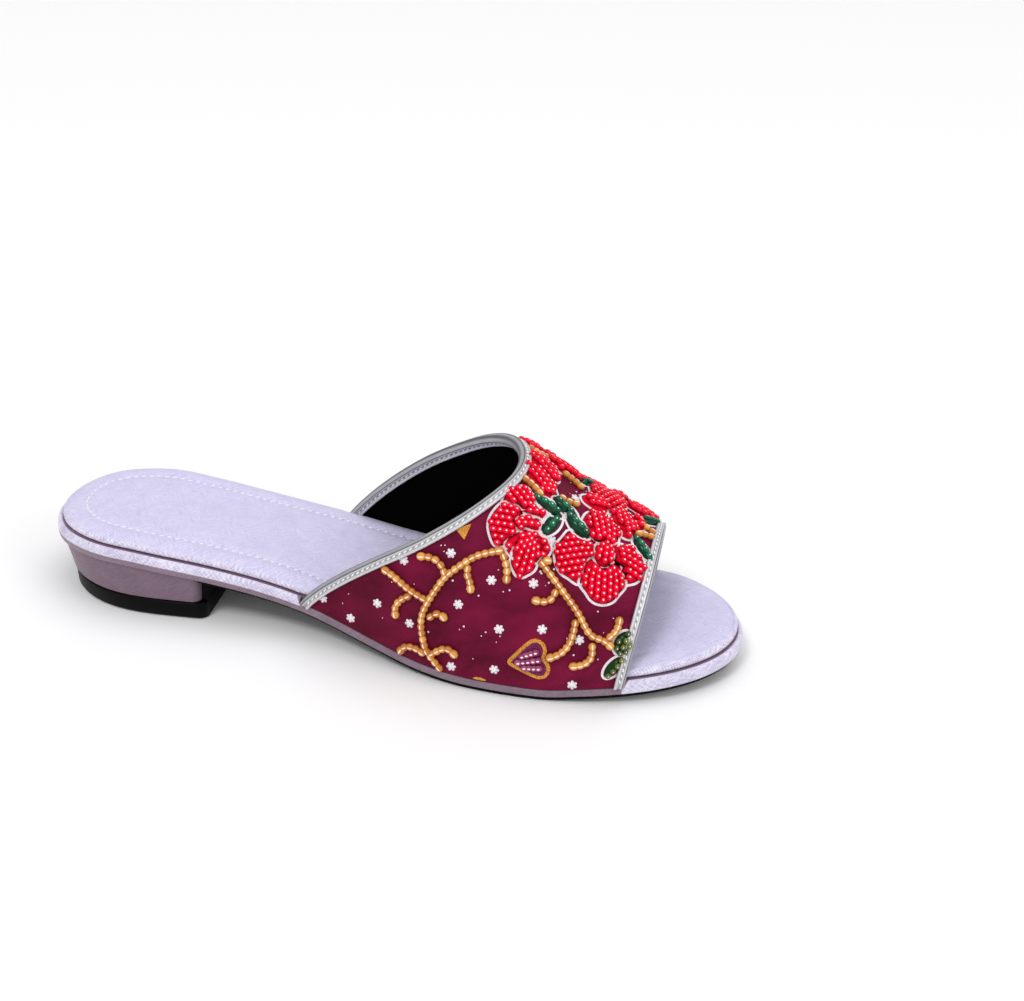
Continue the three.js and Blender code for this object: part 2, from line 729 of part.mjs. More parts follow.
const layer = solidOf(
  vampShell(-bondGap - beadRise, -bondGap, { collar: collarMargin, toe: toeMargin }),
);
const beads = [
  { motif: "flower_back", finish: redBeads },
  { motif: "flower_front", finish: redBeads },
  { motif: "sprig", finish: greenBeads },
  { motif: "heart", finish: goldBeads },
  { motif: "vine_back", finish: goldBeads },
  { motif: "vine_front", finish: goldBeads },
];
for (const half of ["medial", "lateral"])
  for (const { motif, finish } of beads)
    place(`${motif}_${half}`, makeMotif(motif, layer, half), finish);

// The shoe stands on the floor with its box centred on the origin.
const extent = new THREE.Box3().setFromObject(shoe);
const middle = extent.getCenter(new THREE.Vector3());
shoe.position.set(-middle.x, -middle.y, -extent.min.z);

export default shoe;
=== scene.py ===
import math

import bmesh
import bpy
import numpy as np
from mathutils import Matrix, Vector, noise


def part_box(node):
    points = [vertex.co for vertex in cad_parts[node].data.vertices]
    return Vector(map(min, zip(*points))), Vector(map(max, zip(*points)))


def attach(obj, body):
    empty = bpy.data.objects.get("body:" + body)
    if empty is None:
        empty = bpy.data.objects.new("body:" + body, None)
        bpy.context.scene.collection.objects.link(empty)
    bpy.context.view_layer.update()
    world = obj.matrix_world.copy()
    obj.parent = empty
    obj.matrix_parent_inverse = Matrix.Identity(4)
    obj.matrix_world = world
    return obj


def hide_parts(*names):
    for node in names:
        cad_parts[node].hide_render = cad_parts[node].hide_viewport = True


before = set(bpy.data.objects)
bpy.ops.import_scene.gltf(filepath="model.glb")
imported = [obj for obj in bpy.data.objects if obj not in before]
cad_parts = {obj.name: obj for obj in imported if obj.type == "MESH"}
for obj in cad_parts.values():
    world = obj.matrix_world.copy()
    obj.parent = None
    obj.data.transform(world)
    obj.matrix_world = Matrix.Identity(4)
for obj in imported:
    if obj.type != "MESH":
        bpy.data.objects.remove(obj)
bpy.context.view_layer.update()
scene = bpy.context.scene
metre = 0.001  # every length below is in mm, and a mesh takes it in metres

# Camera

camera = {
    "position": (142.58, -582.37, 379.18),
    "right": (0.97912, 0.19740, 0.04847),
    "up": (-0.13725, 0.46618, 0.87398),
    "forward": (-0.14993, 0.86239, -0.48354),
    "focalPixels": 1940.18,
    "imagePixels": 1024,
    "sensorWidth": 36,
}


def makeCamera():
    lens = bpy.data.cameras.new("view")
    lens.sensor_fit = "HORIZONTAL"
    lens.sensor_width = camera["sensorWidth"]
    lens.lens = camera["focalPixels"] * camera["sensorWidth"] / camera["imagePixels"]
    lens.clip_start = 0.01
    eye = bpy.data.objects.new("view", lens)
    axes = Matrix([camera["right"], camera["up"], [-v for v in camera["forward"]]]).transposed()
    eye.matrix_world = Matrix.Translation(Vector(camera["position"]) * metre) @ axes.to_4x4()
    scene.collection.objects.link(eye)
    scene.camera = eye


makeCamera()
print("camera set")

# Sole and vamp shape, with x from the heel's back to the toe and -y the medial side

sole = {
    "ballWidth": 86,
    "seatHeight": 20,
    "toeSpring": 5,
    "outsoleThickness": 1.8,
    "outsoleInset": 1.1,
    "boardThickness": 4.6,
    "sockThickness": 3.7,
    "bondGap": 0.3,
    "ledgeDepth": 2,
    "ledgeEndClearance": 2.6,
    "rimStandOut": 2.2,
    "seatTrim": 1.3,  # from the vamp's seat to where the board's rim steps
    "steps": 150,
}
vamp = {
    "wall": 1.6,
    "inset": 0.2,
    "instepHeight": 70,
    "crestToMedial": 3,
    "powerAtCollar": 2.2,
    "powerAtToe": 2,
}
outlineRows = [
    (0.03, 0.221, 0.232),
    (0.07, 0.308, 0.313),
    (0.13, 0.356, 0.359),
    (0.2, 0.352, 0.368),
    (0.3, 0.328, 0.375),
    (0.4, 0.34, 0.395),
    (0.5, 0.41, 0.426),
    (0.6, 0.486, 0.461),
    (0.7, 0.513, 0.487),
    (0.8, 0.486, 0.475),
    (0.88, 0.416, 0.414),
    (0.94, 0.312, 0.313),
    (0.98, 0.186, 0.188),
]
floorRows = [
    (0, 0.92, 0),
    (0.07, 0.985, 0),
    (0.13, 1, 0),
    (0.2, 0.92, 0),
    (0.3, 0.74, 0),
    (0.4, 0.52, 0),
    (0.5, 0.235, 0),
    (0.58, 0.05, 0),
    (0.64, 0, 0),
    (0.74, 0, 0),
    (0.8, 0, 0.28),
    (0.88, 0, 0.61),
    (1, 0, 1),
]
crestRows = [(0.33, 1.32), (0.45, 1.2), (0.56, 1.085), (0.66, 0.965), (0.76, 0.76), (0.88, 0.53)]
edgeRows = [
    (0, 0.4, 0.849),
    (0.25, 0.609, 0.865),
    (0.5, 0.68, 0.87),
    (0.75, 0.587, 0.864),
    (1, 0.397, 0.851),
]
boardLow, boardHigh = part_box("sole_board")
boardLength = (boardHigh.x - boardLow.x) / metre
step = 1e-3  # either side, where a slope is measured


def naturalSpline(xs, ys):
    xs = np.array(xs, float)
    ys = np.array(ys, float)
    last = len(xs) - 1
    rows = np.eye(last + 1)
    turn = np.zeros(last + 1)
    for i in range(1, last):
        before = xs[i] - xs[i - 1]
        after = xs[i + 1] - xs[i]
        rows[i, i - 1 : i + 2] = before, 2 * (before + after), after
        turn[i] = 6 * ((ys[i + 1] - ys[i]) / after - (ys[i] - ys[i - 1]) / before)
    bend = np.linalg.solve(rows, turn)

    def value(x):
        x = np.asarray(x, float)
        i = np.clip(np.searchsorted(xs, x) - 1, 0, last - 1)
        span = xs[i + 1] - xs[i]
        a = (xs[i + 1] - x) / span
        b = 1 - a
        curve = ((a**3 - a) * bend[i] + (b**3 - b) * bend[i + 1]) * span**2 / 6
        return a * ys[i] + b * ys[i + 1] + curve

    return value


def levelSpline(xs, ys):
    xs = np.array(xs, float)
    ys = np.array(ys, float)
    last = len(xs) - 1
    rise = np.diff(ys) / np.diff(xs)
    slope = np.zeros(last + 1)
    for i in range(1, last):
        if rise[i - 1] * rise[i] > 0:
            slope[i] = 2 / (1 / rise[i - 1] + 1 / rise[i])
    slope[last] = rise[-1]

    def value(x):
        x = np.asarray(x, float)
        i = np.clip(np.searchsorted(xs, x) - 1, 0, last - 1)
        span = xs[i + 1] - xs[i]
        t = np.clip((x - xs[i]) / span, 0, 1)
        s = 1 - t
        ends = ys[i] * s * s * (1 + 2 * t) + ys[i + 1] * t * t * (1 + 2 * s)
        return ends + span * s * t * (slope[i] * s - slope[i + 1] * t)

    return value


def unit(vectors):
    return vectors / np.linalg.norm(vectors, axis=-1, keepdims=True)


# Distance travelled along a line of points, or along each line of a grid
def travelled(line, axis=0):
    steps = np.linalg.norm(np.diff(line, axis=axis), axis=-1)
    return np.insert(np.cumsum(steps, axis=axis), 0, 0, axis=axis)


def angleAt(x):
    return np.arccos(np.clip(1 - 2 * np.asarray(x, float) / boardLength, -1, 1))


def alongAt(angle):
    return boardLength / 2 * (1 - np.cos(angle))


outlineAngles = [0, *(float(angleAt(row[0] * boardLength)) for row in outlineRows), math.pi]
halfWidthOf = {
    side: naturalSpline(outlineAngles, [0, *(r[k] * sole["ballWidth"] for r in outlineRows), 0])
    for k, side in ((1, "medial"), (2, "lateral"))
}
signOf = {"medial": -1, "lateral": 1}
floorAt = levelSpline(
    [row[0] * boardLength for row in floorRows],
    [row[1] * sole["seatHeight"] + row[2] * sole["toeSpring"] for row in floorRows],
)
crestAt = naturalSpline(
    [row[0] * boardLength for row in crestRows],
    [row[1] * vamp["instepHeight"] for row in crestRows],
)
edgeOf = {
    edge: naturalSpline([r[0] * math.pi for r in edgeRows], [r[k] * boardLength for r in edgeRows])
    for k, edge in ((1, "collar"), (2, "toe"))
}
widestMedial = float(np.max(halfWidthOf["medial"](np.linspace(0, math.pi, 2000))))
toPart = np.array([-boardLength / 2, boardLow.y / metre + widestMedial, 0])
boardBottom = sole["outsoleThickness"] + sole["bondGap"]
boardTop = boardBottom + sole["boardThickness"]
ledgeTop = boardTop - sole["ledgeDepth"]
sockBottom = boardTop + sole["bondGap"]
ledgeStart = float(min(edgeOf["collar"](0), edgeOf["collar"](math.pi))) - sole["ledgeEndClearance"]
ledgeEnd = float(max(edgeOf["toe"](0), edgeOf["toe"](math.pi))) + sole["ledgeEndClearance"]


def outlinePoint(angle, side, outset):
    angle = np.asarray(angle, float)
    outset = np.broadcast_to(np.asarray(outset, float), angle.shape)

    def at(a):
        return np.stack([alongAt(a), signOf[side] * halfWidthOf[side](a)], -1)

    tangent = unit(at(angle + step) - at(angle - step))
    normal = np.stack([tangent[..., 1], -tangent[..., 0]], -1) * -signOf[side]
    point = at(angle) + normal * outset[..., None]
    zero = np.zeros_like(outset)
    point = np.where((angle <= 0)[..., None], np.stack([-outset, zero], -1), point)
    ahead = np.stack([boardLength + outset, zero], -1)
    return np.where((angle >= math.pi)[..., None], ahead, point)


def halfWidthAt(x, side, outset):
    def width(at):
        return halfWidthOf[side](angleAt(at))

    slope = (width(x + step) - width(x - step)) / (2 * step)
    return width(x) + outset * np.hypot(1, slope)


def vampFace(along, turn):
    run = np.clip((along / boardLength - 0.35) / 0.5, 0, 1)
    power = vamp["powerAtCollar"] + run * (vamp["powerAtToe"] - vamp["powerAtCollar"])
    across = np.cos(turn)
    medial = halfWidthAt(along, "medial", -vamp["inset"]) - vamp["crestToMedial"]
    lateral = halfWidthAt(along, "lateral", -vamp["inset"]) + vamp["crestToMedial"]
    half = np.where(across > 0, -medial, lateral)
    y = half * np.abs(across) ** (2 / power) - vamp["crestToMedial"]
    lift = np.maximum(np.sin(turn), 0) ** (2 / power)
    z = floorAt(along) + ledgeTop + sole["bondGap"] + crestAt(along) * lift
    return np.stack([along, y, z], -1)


def vampNormal(along, turn):
    inside = np.clip(turn, 2 * step, math.pi - 2 * step)
    lengthwise = vampFace(along + step, inside) - vampFace(along - step, inside)
    across = vampFace(along, inside + step) - vampFace(along, inside - step)
    return unit(np.cross(lengthwise, across))


# A place on the vamp: share of the way from collar to toe edge, and of the way round
# from the medial base over the crest to the lateral base.
def onVamp(share, around, lift=0):
    share = np.asarray(share, float)
    turn = np.asarray(around, float) * math.pi
    start = edgeOf["collar"](turn)
    along = start + share * (edgeOf["toe"](turn) - start)
    normal = vampNormal(along, turn)
    return vampFace(along, turn) + normal * np.asarray(lift)[..., None], normal


# Meshes


def newPiece(name, points, faces, materials, faceMaterial=None, uv=None, sharp=35, closed=True):
    mesh = bpy.data.meshes.new(name)
    placed = (np.asarray(points, float) + toPart) * metre
    mesh.from_pydata(placed.tolist(), [], [list(map(int, f)) for f in faces])
    for material in materials:
        mesh.materials.append(material)
    if faceMaterial is not None:
        mesh.polygons.foreach_set("material_index", np.asarray(faceMaterial, np.int32))
    if uv is not None:
        corners = np.empty(len(mesh.loops), np.int32)
        mesh.loops.foreach_get("vertex_index", corners)
        layer = mesh.uv_layers.new(name="cloth")
        layer.data.foreach_set("uv", (np.asarray(uv, float) * metre)[corners].ravel())
    if closed:
        work = bmesh.new()
        work.from_mesh(mesh)
        bmesh.ops.remove_doubles(work, verts=work.verts, dist=1e-7)
        bmesh.ops.recalc_face_normals(work, faces=work.faces)
        work.to_mesh(mesh)
        work.free()
    mesh.shade_smooth()
    mesh.set_sharp_from_angle(angle=math.radians(sharp))
    piece = bpy.data.objects.new(name, mesh)
    scene.collection.objects.link(piece)
    return piece


def keep(piece, slot, *replaced):
    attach(piece, "root")
    if replaced:
        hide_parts(*replaced)


def mark(mesh, name, values, kind="FLOAT", key="value"):
    layer = mesh.attributes.new(name, kind, "POINT")
    layer.data.foreach_set(key, np.ascontiguousarray(values, np.float32).ravel())


def gridFaces(rows, columns, start=0, wrap=False):
    faces = []
    for i in range(rows - 1):
        for j in range(columns if wrap else columns - 1):
            a = start + i * columns + j
            b = start + i * columns + (j + 1) % columns
            faces.append((a, b, b + columns, a + columns))
    return faces


def gather(parts):
    points = []
    faces = []
    start = 0
    for part, quads in parts:
        points.append(part)
        faces += [tuple(k + start for k in quad) for quad in quads]
        start += len(part)
    return np.concatenate(points), faces


def keepSheets(name, parts, material, slot):
    points, faces = gather(parts)
    keep(newPiece(name, points, faces, [finish[material]], sharp=60), slot)


# A grid's upper and lower face, as two sheets
def twoSheets(top, low, rows, columns):
    faces = gridFaces(rows, columns)
    faces += [tuple(k + rows * columns for k in f[::-1]) for f in faces]
    return np.concatenate([top.reshape(-1, 3), low.reshape(-1, 3)]), faces


# Closed body from rings of equal count, lowest first, that run round the sole: out along
# the medial side and back along the lateral. Both ends are closed with cross strips.
def stackRings(rings):
    rings = np.asarray(rings, float)
    levels, count = rings.shape[:2]
    faces = gridFaces(levels, count, wrap=True)
    top = (levels - 1) * count
    for base, flip in ((0, True), (top, False)):
        for k in range(count // 2):
            corners = [base + k, base + k + 1, base + (count - k - 1) % count, base + (count - k) % count]
            corners = list(dict.fromkeys(corners))
            if len(corners) > 2:
                faces.append(corners[::-1] if flip else corners)
    return rings.reshape(-1, 3), faces


soleSteps = sole["steps"]
soleAngles = np.linspace(0, math.pi, soleSteps + 1)
seatEnds = (ledgeStart + sole["seatTrim"], ledgeEnd - sole["seatTrim"])
ledgeAngles = [float(angleAt(x)) for x in seatEnds]
boardAngles = np.sort(np.concatenate([soleAngles, ledgeAngles, [a + 2e-4 for a in ledgeAngles]]))


def soleRing(angles, outset, lift):
    outset = np.broadcast_to(np.asarray(outset, float), angles.shape)
    lift = np.broadcast_to(np.asarray(lift, float), angles.shape)
    medial = outlinePoint(angles, "medial", outset)
    lateral = outlinePoint(angles, "lateral", outset)[1:-1][::-1]
    loop = np.concatenate([medial, lateral])
    lifts = np.concatenate([lift, lift[1:-1][::-1]])
    return np.column_stack([loop, floorAt(loop[:, 0]) + lifts])


# Node trees


class Wire:
    def __init__(self, kit, socket):
        self.kit = kit
        self.socket = socket

    def maths(self, operation, first, second=0.0):
        return self.kit.add("ShaderNodeMath", {"operation": operation}, {0: first, 1: second})

    def __add__(self, other):
        return self.maths("ADD", self, other)

    def __radd__(self, other):
        return self.maths("ADD", other, self)

    def __sub__(self, other):
        return self.maths("SUBTRACT", self, other)

    def __rsub__(self, other):
        return self.maths("SUBTRACT", other, self)

    def __mul__(self, other):
        return self.maths("MULTIPLY", self, other)

    def __rmul__(self, other):
        return self.maths("MULTIPLY", other, self)

    def __truediv__(self, other):
        return self.maths("DIVIDE", self, other)

    def __pow__(self, other):
        return self.maths("POWER", self, other)


class NodeKit:
    def __init__(self, tree):
        self.tree = tree

    def add(self, kind, settings=None, values=None, output=0):
        node = self.tree.nodes.new(kind)
        for name, value in (settings or {}).items():
            setattr(node, name, value)
        for name, value in (values or {}).items():
            if isinstance(value, Wire):
                self.tree.links.new(value.socket, node.inputs[name])
            else:
                node.inputs[name].default_value = value
        return Wire(self, node.outputs[output]) if len(node.outputs) else None


class Finish(NodeKit):
    def __init__(self, name):
        self.material = bpy.data.materials.new(name)
        self.material.use_nodes = True
        super().__init__(self.material.node_tree)
        self.tree.nodes.clear()

    # Place on the surface in mm: the piece's cloth map, or the object's own space.
    def place(self, onCloth=False):
        if onCloth:
            at = self.add("ShaderNodeUVMap", {"uv_map": "cloth"})
        else:
            at = self.add("ShaderNodeTexCoord", output=3)
        return self.add("ShaderNodeVectorMath", {"operation": "SCALE"}, {0: at, 3: 1 / metre})

    def wave(self, place, pitch, turn=0.0, tilt=0.0, distortion=0.0):
        angles = (0, math.radians(tilt), math.radians(turn))
        turned = self.add("ShaderNodeMapping", {}, {0: place, 2: angles})
        values = {"Vector": turned, "Scale": math.pi / 10 / pitch, "Distortion": distortion}
        values.update({"Detail": 1.0, "Detail Scale": 2.0})
        return self.add("ShaderNodeTexWave", {"bands_direction": "X"}, values, output=1)

    # Noise drawn out along one direction
    def brushed(self, place, width, length, turn, tilt):
        angles = (0, math.radians(tilt), math.radians(turn))
        values = {0: place, 2: angles, 3: (width, length, length)}
        turned = self.add("ShaderNodeMapping", {"vector_type": "TEXTURE"}, values)
        values = {"Vector": turned, "Scale": 1.0, "Detail": 1.5}
        return self.between(self.add("ShaderNodeTexNoise", {}, values), 0, 1, 0.3, 0.7)

    def noise(self, place, size, detail=2.0):
        values = {"Vector": place, "Scale": 1 / size, "Detail": detail}
        return self.add("ShaderNodeTexNoise", {}, values)

    def attribute(self, name):
        return self.add("ShaderNodeAttribute", {"attribute_name": name}, output=2)

    def between(self, value, low, high, fromLow=0.0, fromHigh=1.0):
        values = {0: value, 1: fromLow, 2: fromHigh, 3: low, 4: high}
        return self.add("ShaderNodeMapRange", {"clamp": True}, values)

    def blend(self, factor, first, second):
        values = {0: factor, 6: self.colour(first), 7: self.colour(second)}
        return self.add("ShaderNodeMix", {"data_type": "RGBA"}, values, output=2)

    # A colour is a wire, three numbers or a name in the list of colours.
    def colour(self, value):
        if isinstance(value, str):
            value = colours[value]
        return value if isinstance(value, Wire) else (*value, 1)

    def bump(self, height, depth):
        values = {"Height": height, "Distance": depth * metre, "Strength": 1.0}
        return self.add("ShaderNodeBump", {}, values)

    def surface(self, **values):
        named = {"".join(" " + c if c.isupper() else c for c in key).strip(): v for key, v in values.items()}
        named = {key.replace("I O R", "IOR"): v for key, v in named.items()}
        shader = self.add("ShaderNodeBsdfPrincipled", {}, named)
        self.add("ShaderNodeOutputMaterial", {}, {"Surface": shader})
        return self.material


def linear(red, green, blue):
    parts = [v / 255 for v in (red, green, blue)]
    return tuple(v / 12.92 if v <= 0.04045 else ((v + 0.055) / 1.055) ** 2.4 for v in parts)


# Finishes

colours = {
    "lilac": (217, 213, 239),
    "lilacShade": (192, 186, 222),
    # painted sheen and painted shade streaks for upright faces and the rim
    "sheen": (247, 244, 253),
    "fold": (182, 168, 196),
    "crevice": (136, 112, 130),
    "mauve": (128, 104, 122),
    "mauveRim": (152, 130, 146),
    "mauveShade": (104, 84, 98),
    "burgundy": (122, 16, 55),
    "burgundyShade": (78, 5, 31),
    "burgundyBright": (150, 44, 86),
    "red": (255, 4, 56),
    "redShade": (214, 0, 34),
    "redGlint": (255, 246, 248),
    "amber": (232, 162, 78),
    "amberShade": (178, 94, 20),
    "amberGlint": (255, 236, 206),
    "green": (0, 118, 80),
    "greenShade": (0, 50, 32),
    "greenGlint": (190, 240, 226),
    "olive": (118, 122, 34),
    "pearl": (176, 84, 124),
    "purple": (128, 40, 84),
    "gold": (224, 166, 76),
    "thread": (240, 238, 250),
    "white": (250, 247, 250),
    "felt": (232, 0, 46),
    "liningDark": (1, 1, 1),
    "liningPale": (6, 5, 6),
    "rubberDark": (1, 1, 1),
    "rubberPale": (8, 8, 8),
    "silver": (236, 236, 239),
    "silverShade": (178, 177, 182),
    "steel": (108, 107, 114),
    "steelShade": (66, 65, 70),
    "leaf": (48, 104, 34),
    "leafShade": (14, 56, 22),
    "whiteShade": (226, 214, 224),
    "purpleShade": (88, 22, 62),
    "feltShade": (198, 0, 34),
    "hole": (120, 108, 140),
    "holeShade": (88, 76, 108),
    "shine": (254, 254, 255),
    "floor": (251, 251, 252),
    "floorShade": (246, 246, 248),
}
colours = {name: linear(*values) for name, values in colours.items()}


# Fine brushed twill that changes direction from patch to patch
def twill(kit, place, grain, tilt=35.0):
    ways = []
    for turn, share in ((38, 1.0), (-50, 0.85)):
        line = kit.wave(place, grain * share, turn, tilt, distortion=1.2)
        ways.append(line * 0.35 + kit.brushed(place, 0.5, 3.6, turn, tilt) * 0.65)
    patch = kit.between(kit.noise(place, 5), 0, 1, 0.44, 0.56)
    return ways[0] * patch + ways[1] * (1 - patch)


# 0 on a level face, 1 on an upright one
def steepness(kit):
    normal = kit.add("ShaderNodeNewGeometry", output=1)
    upward = kit.add("ShaderNodeSeparateXYZ", {}, {0: normal}, output=2)
    return kit.between(upward, 1, 0, 0.35, 0.985)


def satin(name, light, shade, grain=1.1, depth=0.06, gloss=0.3, tilt=35.0, contrast=0.5, rolled=0.0):
    kit = Finish(name)
    place = kit.place()
    threads = twill(kit, place, grain, tilt)
    fine = kit.noise(place, 0.35)
    slow = kit.noise(place, 9)
    shading = kit.between(threads * contrast + fine * 0.3 + slow * 0.5, 0, 1, 0.3, 1.15)
    body = kit.blend(shading, shade, light)
    # Painted sheen and painted shade: pale and dark streaks on upright faces, where the sock's edge rolls
    # down
    if rolled:
        streak = kit.between(threads * 0.8 + slow * 0.4, 0, 1, 0.3, 0.95)
        flank = kit.blend(streak, "fold", "sheen")
        body = kit.blend(steepness(kit) * rolled, body, flank)
    roughness = kit.between(fine + threads * 0.3, 0.36, 0.56)
    normal = kit.bump(threads * 0.8 + fine * 0.5, depth)
    return kit.surface(
        BaseColor=body,
        Roughness=roughness,
        Normal=normal,
        SheenWeight=0.1,
        SheenRoughness=0.4,
        SpecularIORLevel=gloss,
    )


# The rim's cover: lilac above and mauve below, and mauve alone where the vamp sits on it.
def rimCover():
    kit = Finish("rim_cover")
    place = kit.place()
    threads = twill(kit, place, 0.9, 40)
    fine = kit.noise(place, 0.35)
    slow = kit.noise(place, 8)
    shading = kit.between(threads * 0.4 + fine * 0.4 + slow * 0.5, 0, 1, 0.25, 1.0)
    streak = kit.between(threads * 0.8 + slow * 0.4, 0, 1, 0.3, 0.95)
    lilac = kit.blend(shading, "lilacShade", "lilac")
    # Painted sheen: pale and darker streaks laid over the rim's lilac
    lilac = kit.blend(0.55, lilac, kit.blend(streak, "fold", "sheen"))
    mauve = kit.blend(shading, "mauveShade", "mauveRim")
    edge = kit.attribute("mauve") + (slow - 0.5) * 0.12
    body = kit.blend(kit.between(edge, 0, 1, 0.42, 0.58), lilac, mauve)
    # Painted shade in the crevice under the sock's overhanging edge
    body = kit.blend(kit.attribute("seam"), body, "crevice")
    normal = kit.bump(threads * 0.7 + fine * 0.6, 0.05)
    return kit.surface(
        BaseColor=body, Roughness=0.42, Normal=normal, SheenWeight=0.08, SpecularIORLevel=0.3
    )


def vampCloth():
    kit = Finish("burgundy_cloth")
    place = kit.place(onCloth=True)
    warp = kit.wave(place, 0.5, 0, distortion=0.6)
    weft = kit.wave(place, 0.5, 90, distortion=0.6)
    fine = kit.noise(place, 0.5)
    slow = kit.noise(place, 16, 3.0)
    weave = (warp + weft) * 0.5
    body = kit.blend(kit.between(slow, 0, 1, 0.3, 0.7), "burgundyShade", "burgundy")
    body = kit.blend(weave * 0.3 * fine, body, "burgundyBright")
    # Painted shade: the cloth darker towards the heel, from x = 25 mm back to x = -35 mm
    apart = kit.add("ShaderNodeSeparateXYZ", {}, {0: kit.place()})
    body = kit.blend(kit.between(apart, 0.55, 0, -35, 25), body, "burgundyShade")
    normal = kit.bump(weave + fine * 0.8, 0.05)
    return kit.surface(
        BaseColor=body,
        Roughness=kit.between(fine, 0.36, 0.5),
        Normal=normal,
        SpecularIORLevel=0.06,
    )


def lining():
    kit = Finish("black_lining")
    place = kit.place(onCloth=True)
    weave = (kit.wave(place, 0.8, 45) + kit.wave(place, 0.8, -45)) * 0.5
    fine = kit.noise(place, 0.6)
    body = kit.blend(fine, "liningDark", "liningPale")
    normal = kit.bump(weave + fine, 0.08)
    return kit.surface(BaseColor=body, Roughness=0.9, Normal=normal, SpecularIORLevel=0.03)


def rubber(name, roughness, depth):
    kit = Finish(name)
    place = kit.place()
    fine = kit.noise(place, 0.5, 3.0)
    slow = kit.noise(place, 12)
    body = kit.blend(fine * 0.6 + slow * 0.4, "rubberDark", "rubberPale")
    rough = kit.between(slow + fine * 0.4, roughness - 0.08, roughness + 0.1, 0.3, 1.0)
    normal = kit.bump(fine, depth)
    return kit.surface(BaseColor=body, Roughness=rough, Normal=normal, SpecularIORLevel=0.07)


# Each bead gets a painted highlight: a small pale spot at its top
def glass(name, colour, shade, glint, spot=(0.22, 0.22), gloss=0.1, coat=0.06):
    kit = Finish(name)
    mottle = kit.noise(kit.place(), 1.1)
    mixed = kit.blend(kit.attribute("shade") * 0.7 + mottle * 0.4, shade, colour)
    local = kit.add("ShaderNodeAttribute", {"attribute_name": "local"}, output=1)
    apart = kit.add("ShaderNodeSeparateXYZ", {}, {0: local}).socket.node
    across, aside, up = (Wire(kit, socket) for socket in apart.outputs)
    reach = (across / spot[0]) ** 2.0 + (aside / spot[1]) ** 2.0
    bright = kit.between(reach, 1, 0, 0.6, 1.2) * kit.between(up, 0, 1, 0.2, 0.4)
    # Painted shade: each bead darker towards its underside
    low = kit.between(up, 0.3, 1, -0.5, 0.6)
    mixed = kit.blend(low, tuple(v * 0.5 for v in colours[shade]), mixed)
    # Painted highlight: the glint colour in a small spot round the bead's top
    mixed = kit.blend(bright, mixed, glint)
    return kit.surface(
        BaseColor=mixed,
        Roughness=0.2,
        SpecularIORLevel=gloss,
        CoatWeight=coat,
        CoatRoughness=0.08,
    )


def silverCloth():
    kit = Finish("silver_binding")
    place = kit.place(onCloth=True)
    ribs = kit.wave(place, 0.55, 90)
    fine = kit.noise(place, 0.5, 3.0)
    slow = kit.noise(place, 6)
    light = kit.blend(fine * 0.5 + slow * 0.5, "silverShade", "silver")
    dark = kit.blend(fine * 0.5 + slow * 0.5, "steelShade", "steel")
    # Painted reflections and shade: bands across the section take the darker silver
    body = kit.blend(kit.attribute("dark"), light, dark)
    return kit.surface(
        BaseColor=body,
        Metallic=0.45,
        Roughness=kit.between(fine, 0.24, 0.4),
        Normal=kit.bump(ribs * 0.6 + fine * 0.6, 0.06),
    )


def printFinish(name, colour, shade, roughness=0.55):
    kit = Finish(name)
    fine = kit.between(kit.noise(kit.place(), 0.45), 0, 1, 0.36, 0.6)
    body = kit.blend(fine, shade, colour)
    normal = kit.bump(fine, 0.03)
    return kit.surface(BaseColor=body, Roughness=roughness, Normal=normal, SpecularIORLevel=0.12)


def threadFinish(name, colour):
    kit = Finish(name)
    twist = kit.wave(kit.place(), 0.4, 35)
    body = kit.blend(twist * 0.4, colour, tuple(v * 0.7 for v in colours[colour]))
    return kit.surface(BaseColor=body, Roughness=0.45, Normal=kit.bump(twist, 0.03), SheenWeight=0.3)


finish = {
    "lilac": satin("lilac_satin", "lilac", "lilacShade", contrast=0.8, rolled=0.75),
    "mauve": satin("mauve_satin", "mauve", "mauveShade", 0.8, 0.05, 0.35, 42, 0.7),
    "rim": rimCover(),
    "cloth": vampCloth(),
    "lining": lining(),
    "outsole": rubber("outsole_rubber", 0.5, 0.05),
    "lift": rubber("lift_rubber", 0.36, 0.02),
    "red": glass("red_glass", "red", "redShade", "redGlint"),
    "amber": glass("amber_glass", "amber", "amberShade", "amberGlint", (0.62, 0.2), 0.3, 0.2),
    "green": glass("green_glass", "green", "greenShade", "greenGlint", (0.2, 0.2), 0.2, 0.25),
    "leaf": glass("leaf_glass", "leaf", "leafShade", "greenGlint"),
    "olive": glass("olive_glass", "olive", "greenShade", "amberGlint", (0.25, 0.16), 0.4, 0.3),
    "pearl": glass("pearl_glass", "pearl", "purple", "redGlint", (0.36, 0.26)),
    "silver": silverCloth(),
    "white": printFinish("white_print", "white", "whiteShade"),
    "gold": printFinish("gold_print", "gold", "amberShade", 0.4),
    "purple": printFinish("purple_print", "purple", "purpleShade"),
    "felt": printFinish("red_felt", "felt", "feltShade", 0.7),
    "thread": threadFinish("pale_thread", "thread"),
    "hole": printFinish("needle_hole", "hole", "holeShade", 0.8),
    "shine": threadFinish("silver_thread", "shine"),
}
print("finishes made")

# Sole board with the rebate that the vamp stands in

board = {
    "rim": [
        (-1.3, 0),
        (-1.2, -0.13),
        (-0.95, -0.2),
        (-0.6, -0.19),
        (-0.28, -0.08),
        (-0.1, 0.12),
        (0, 0.4),
        (-0.05, 0.66),
    ],
    "shoulder": [(-0.28, 0.83), (-0.75, 0.95), (-1.4, 1), (-1.75, 0.97)],
    "crevice": [(-1.9, 0.95), (-2.25, 0.94)],
    "mauveHeight": 0.36,
    "skirtFade": (110, 160),
    "skirtLeast": 0.3,
    "cornerCut": 3,
}


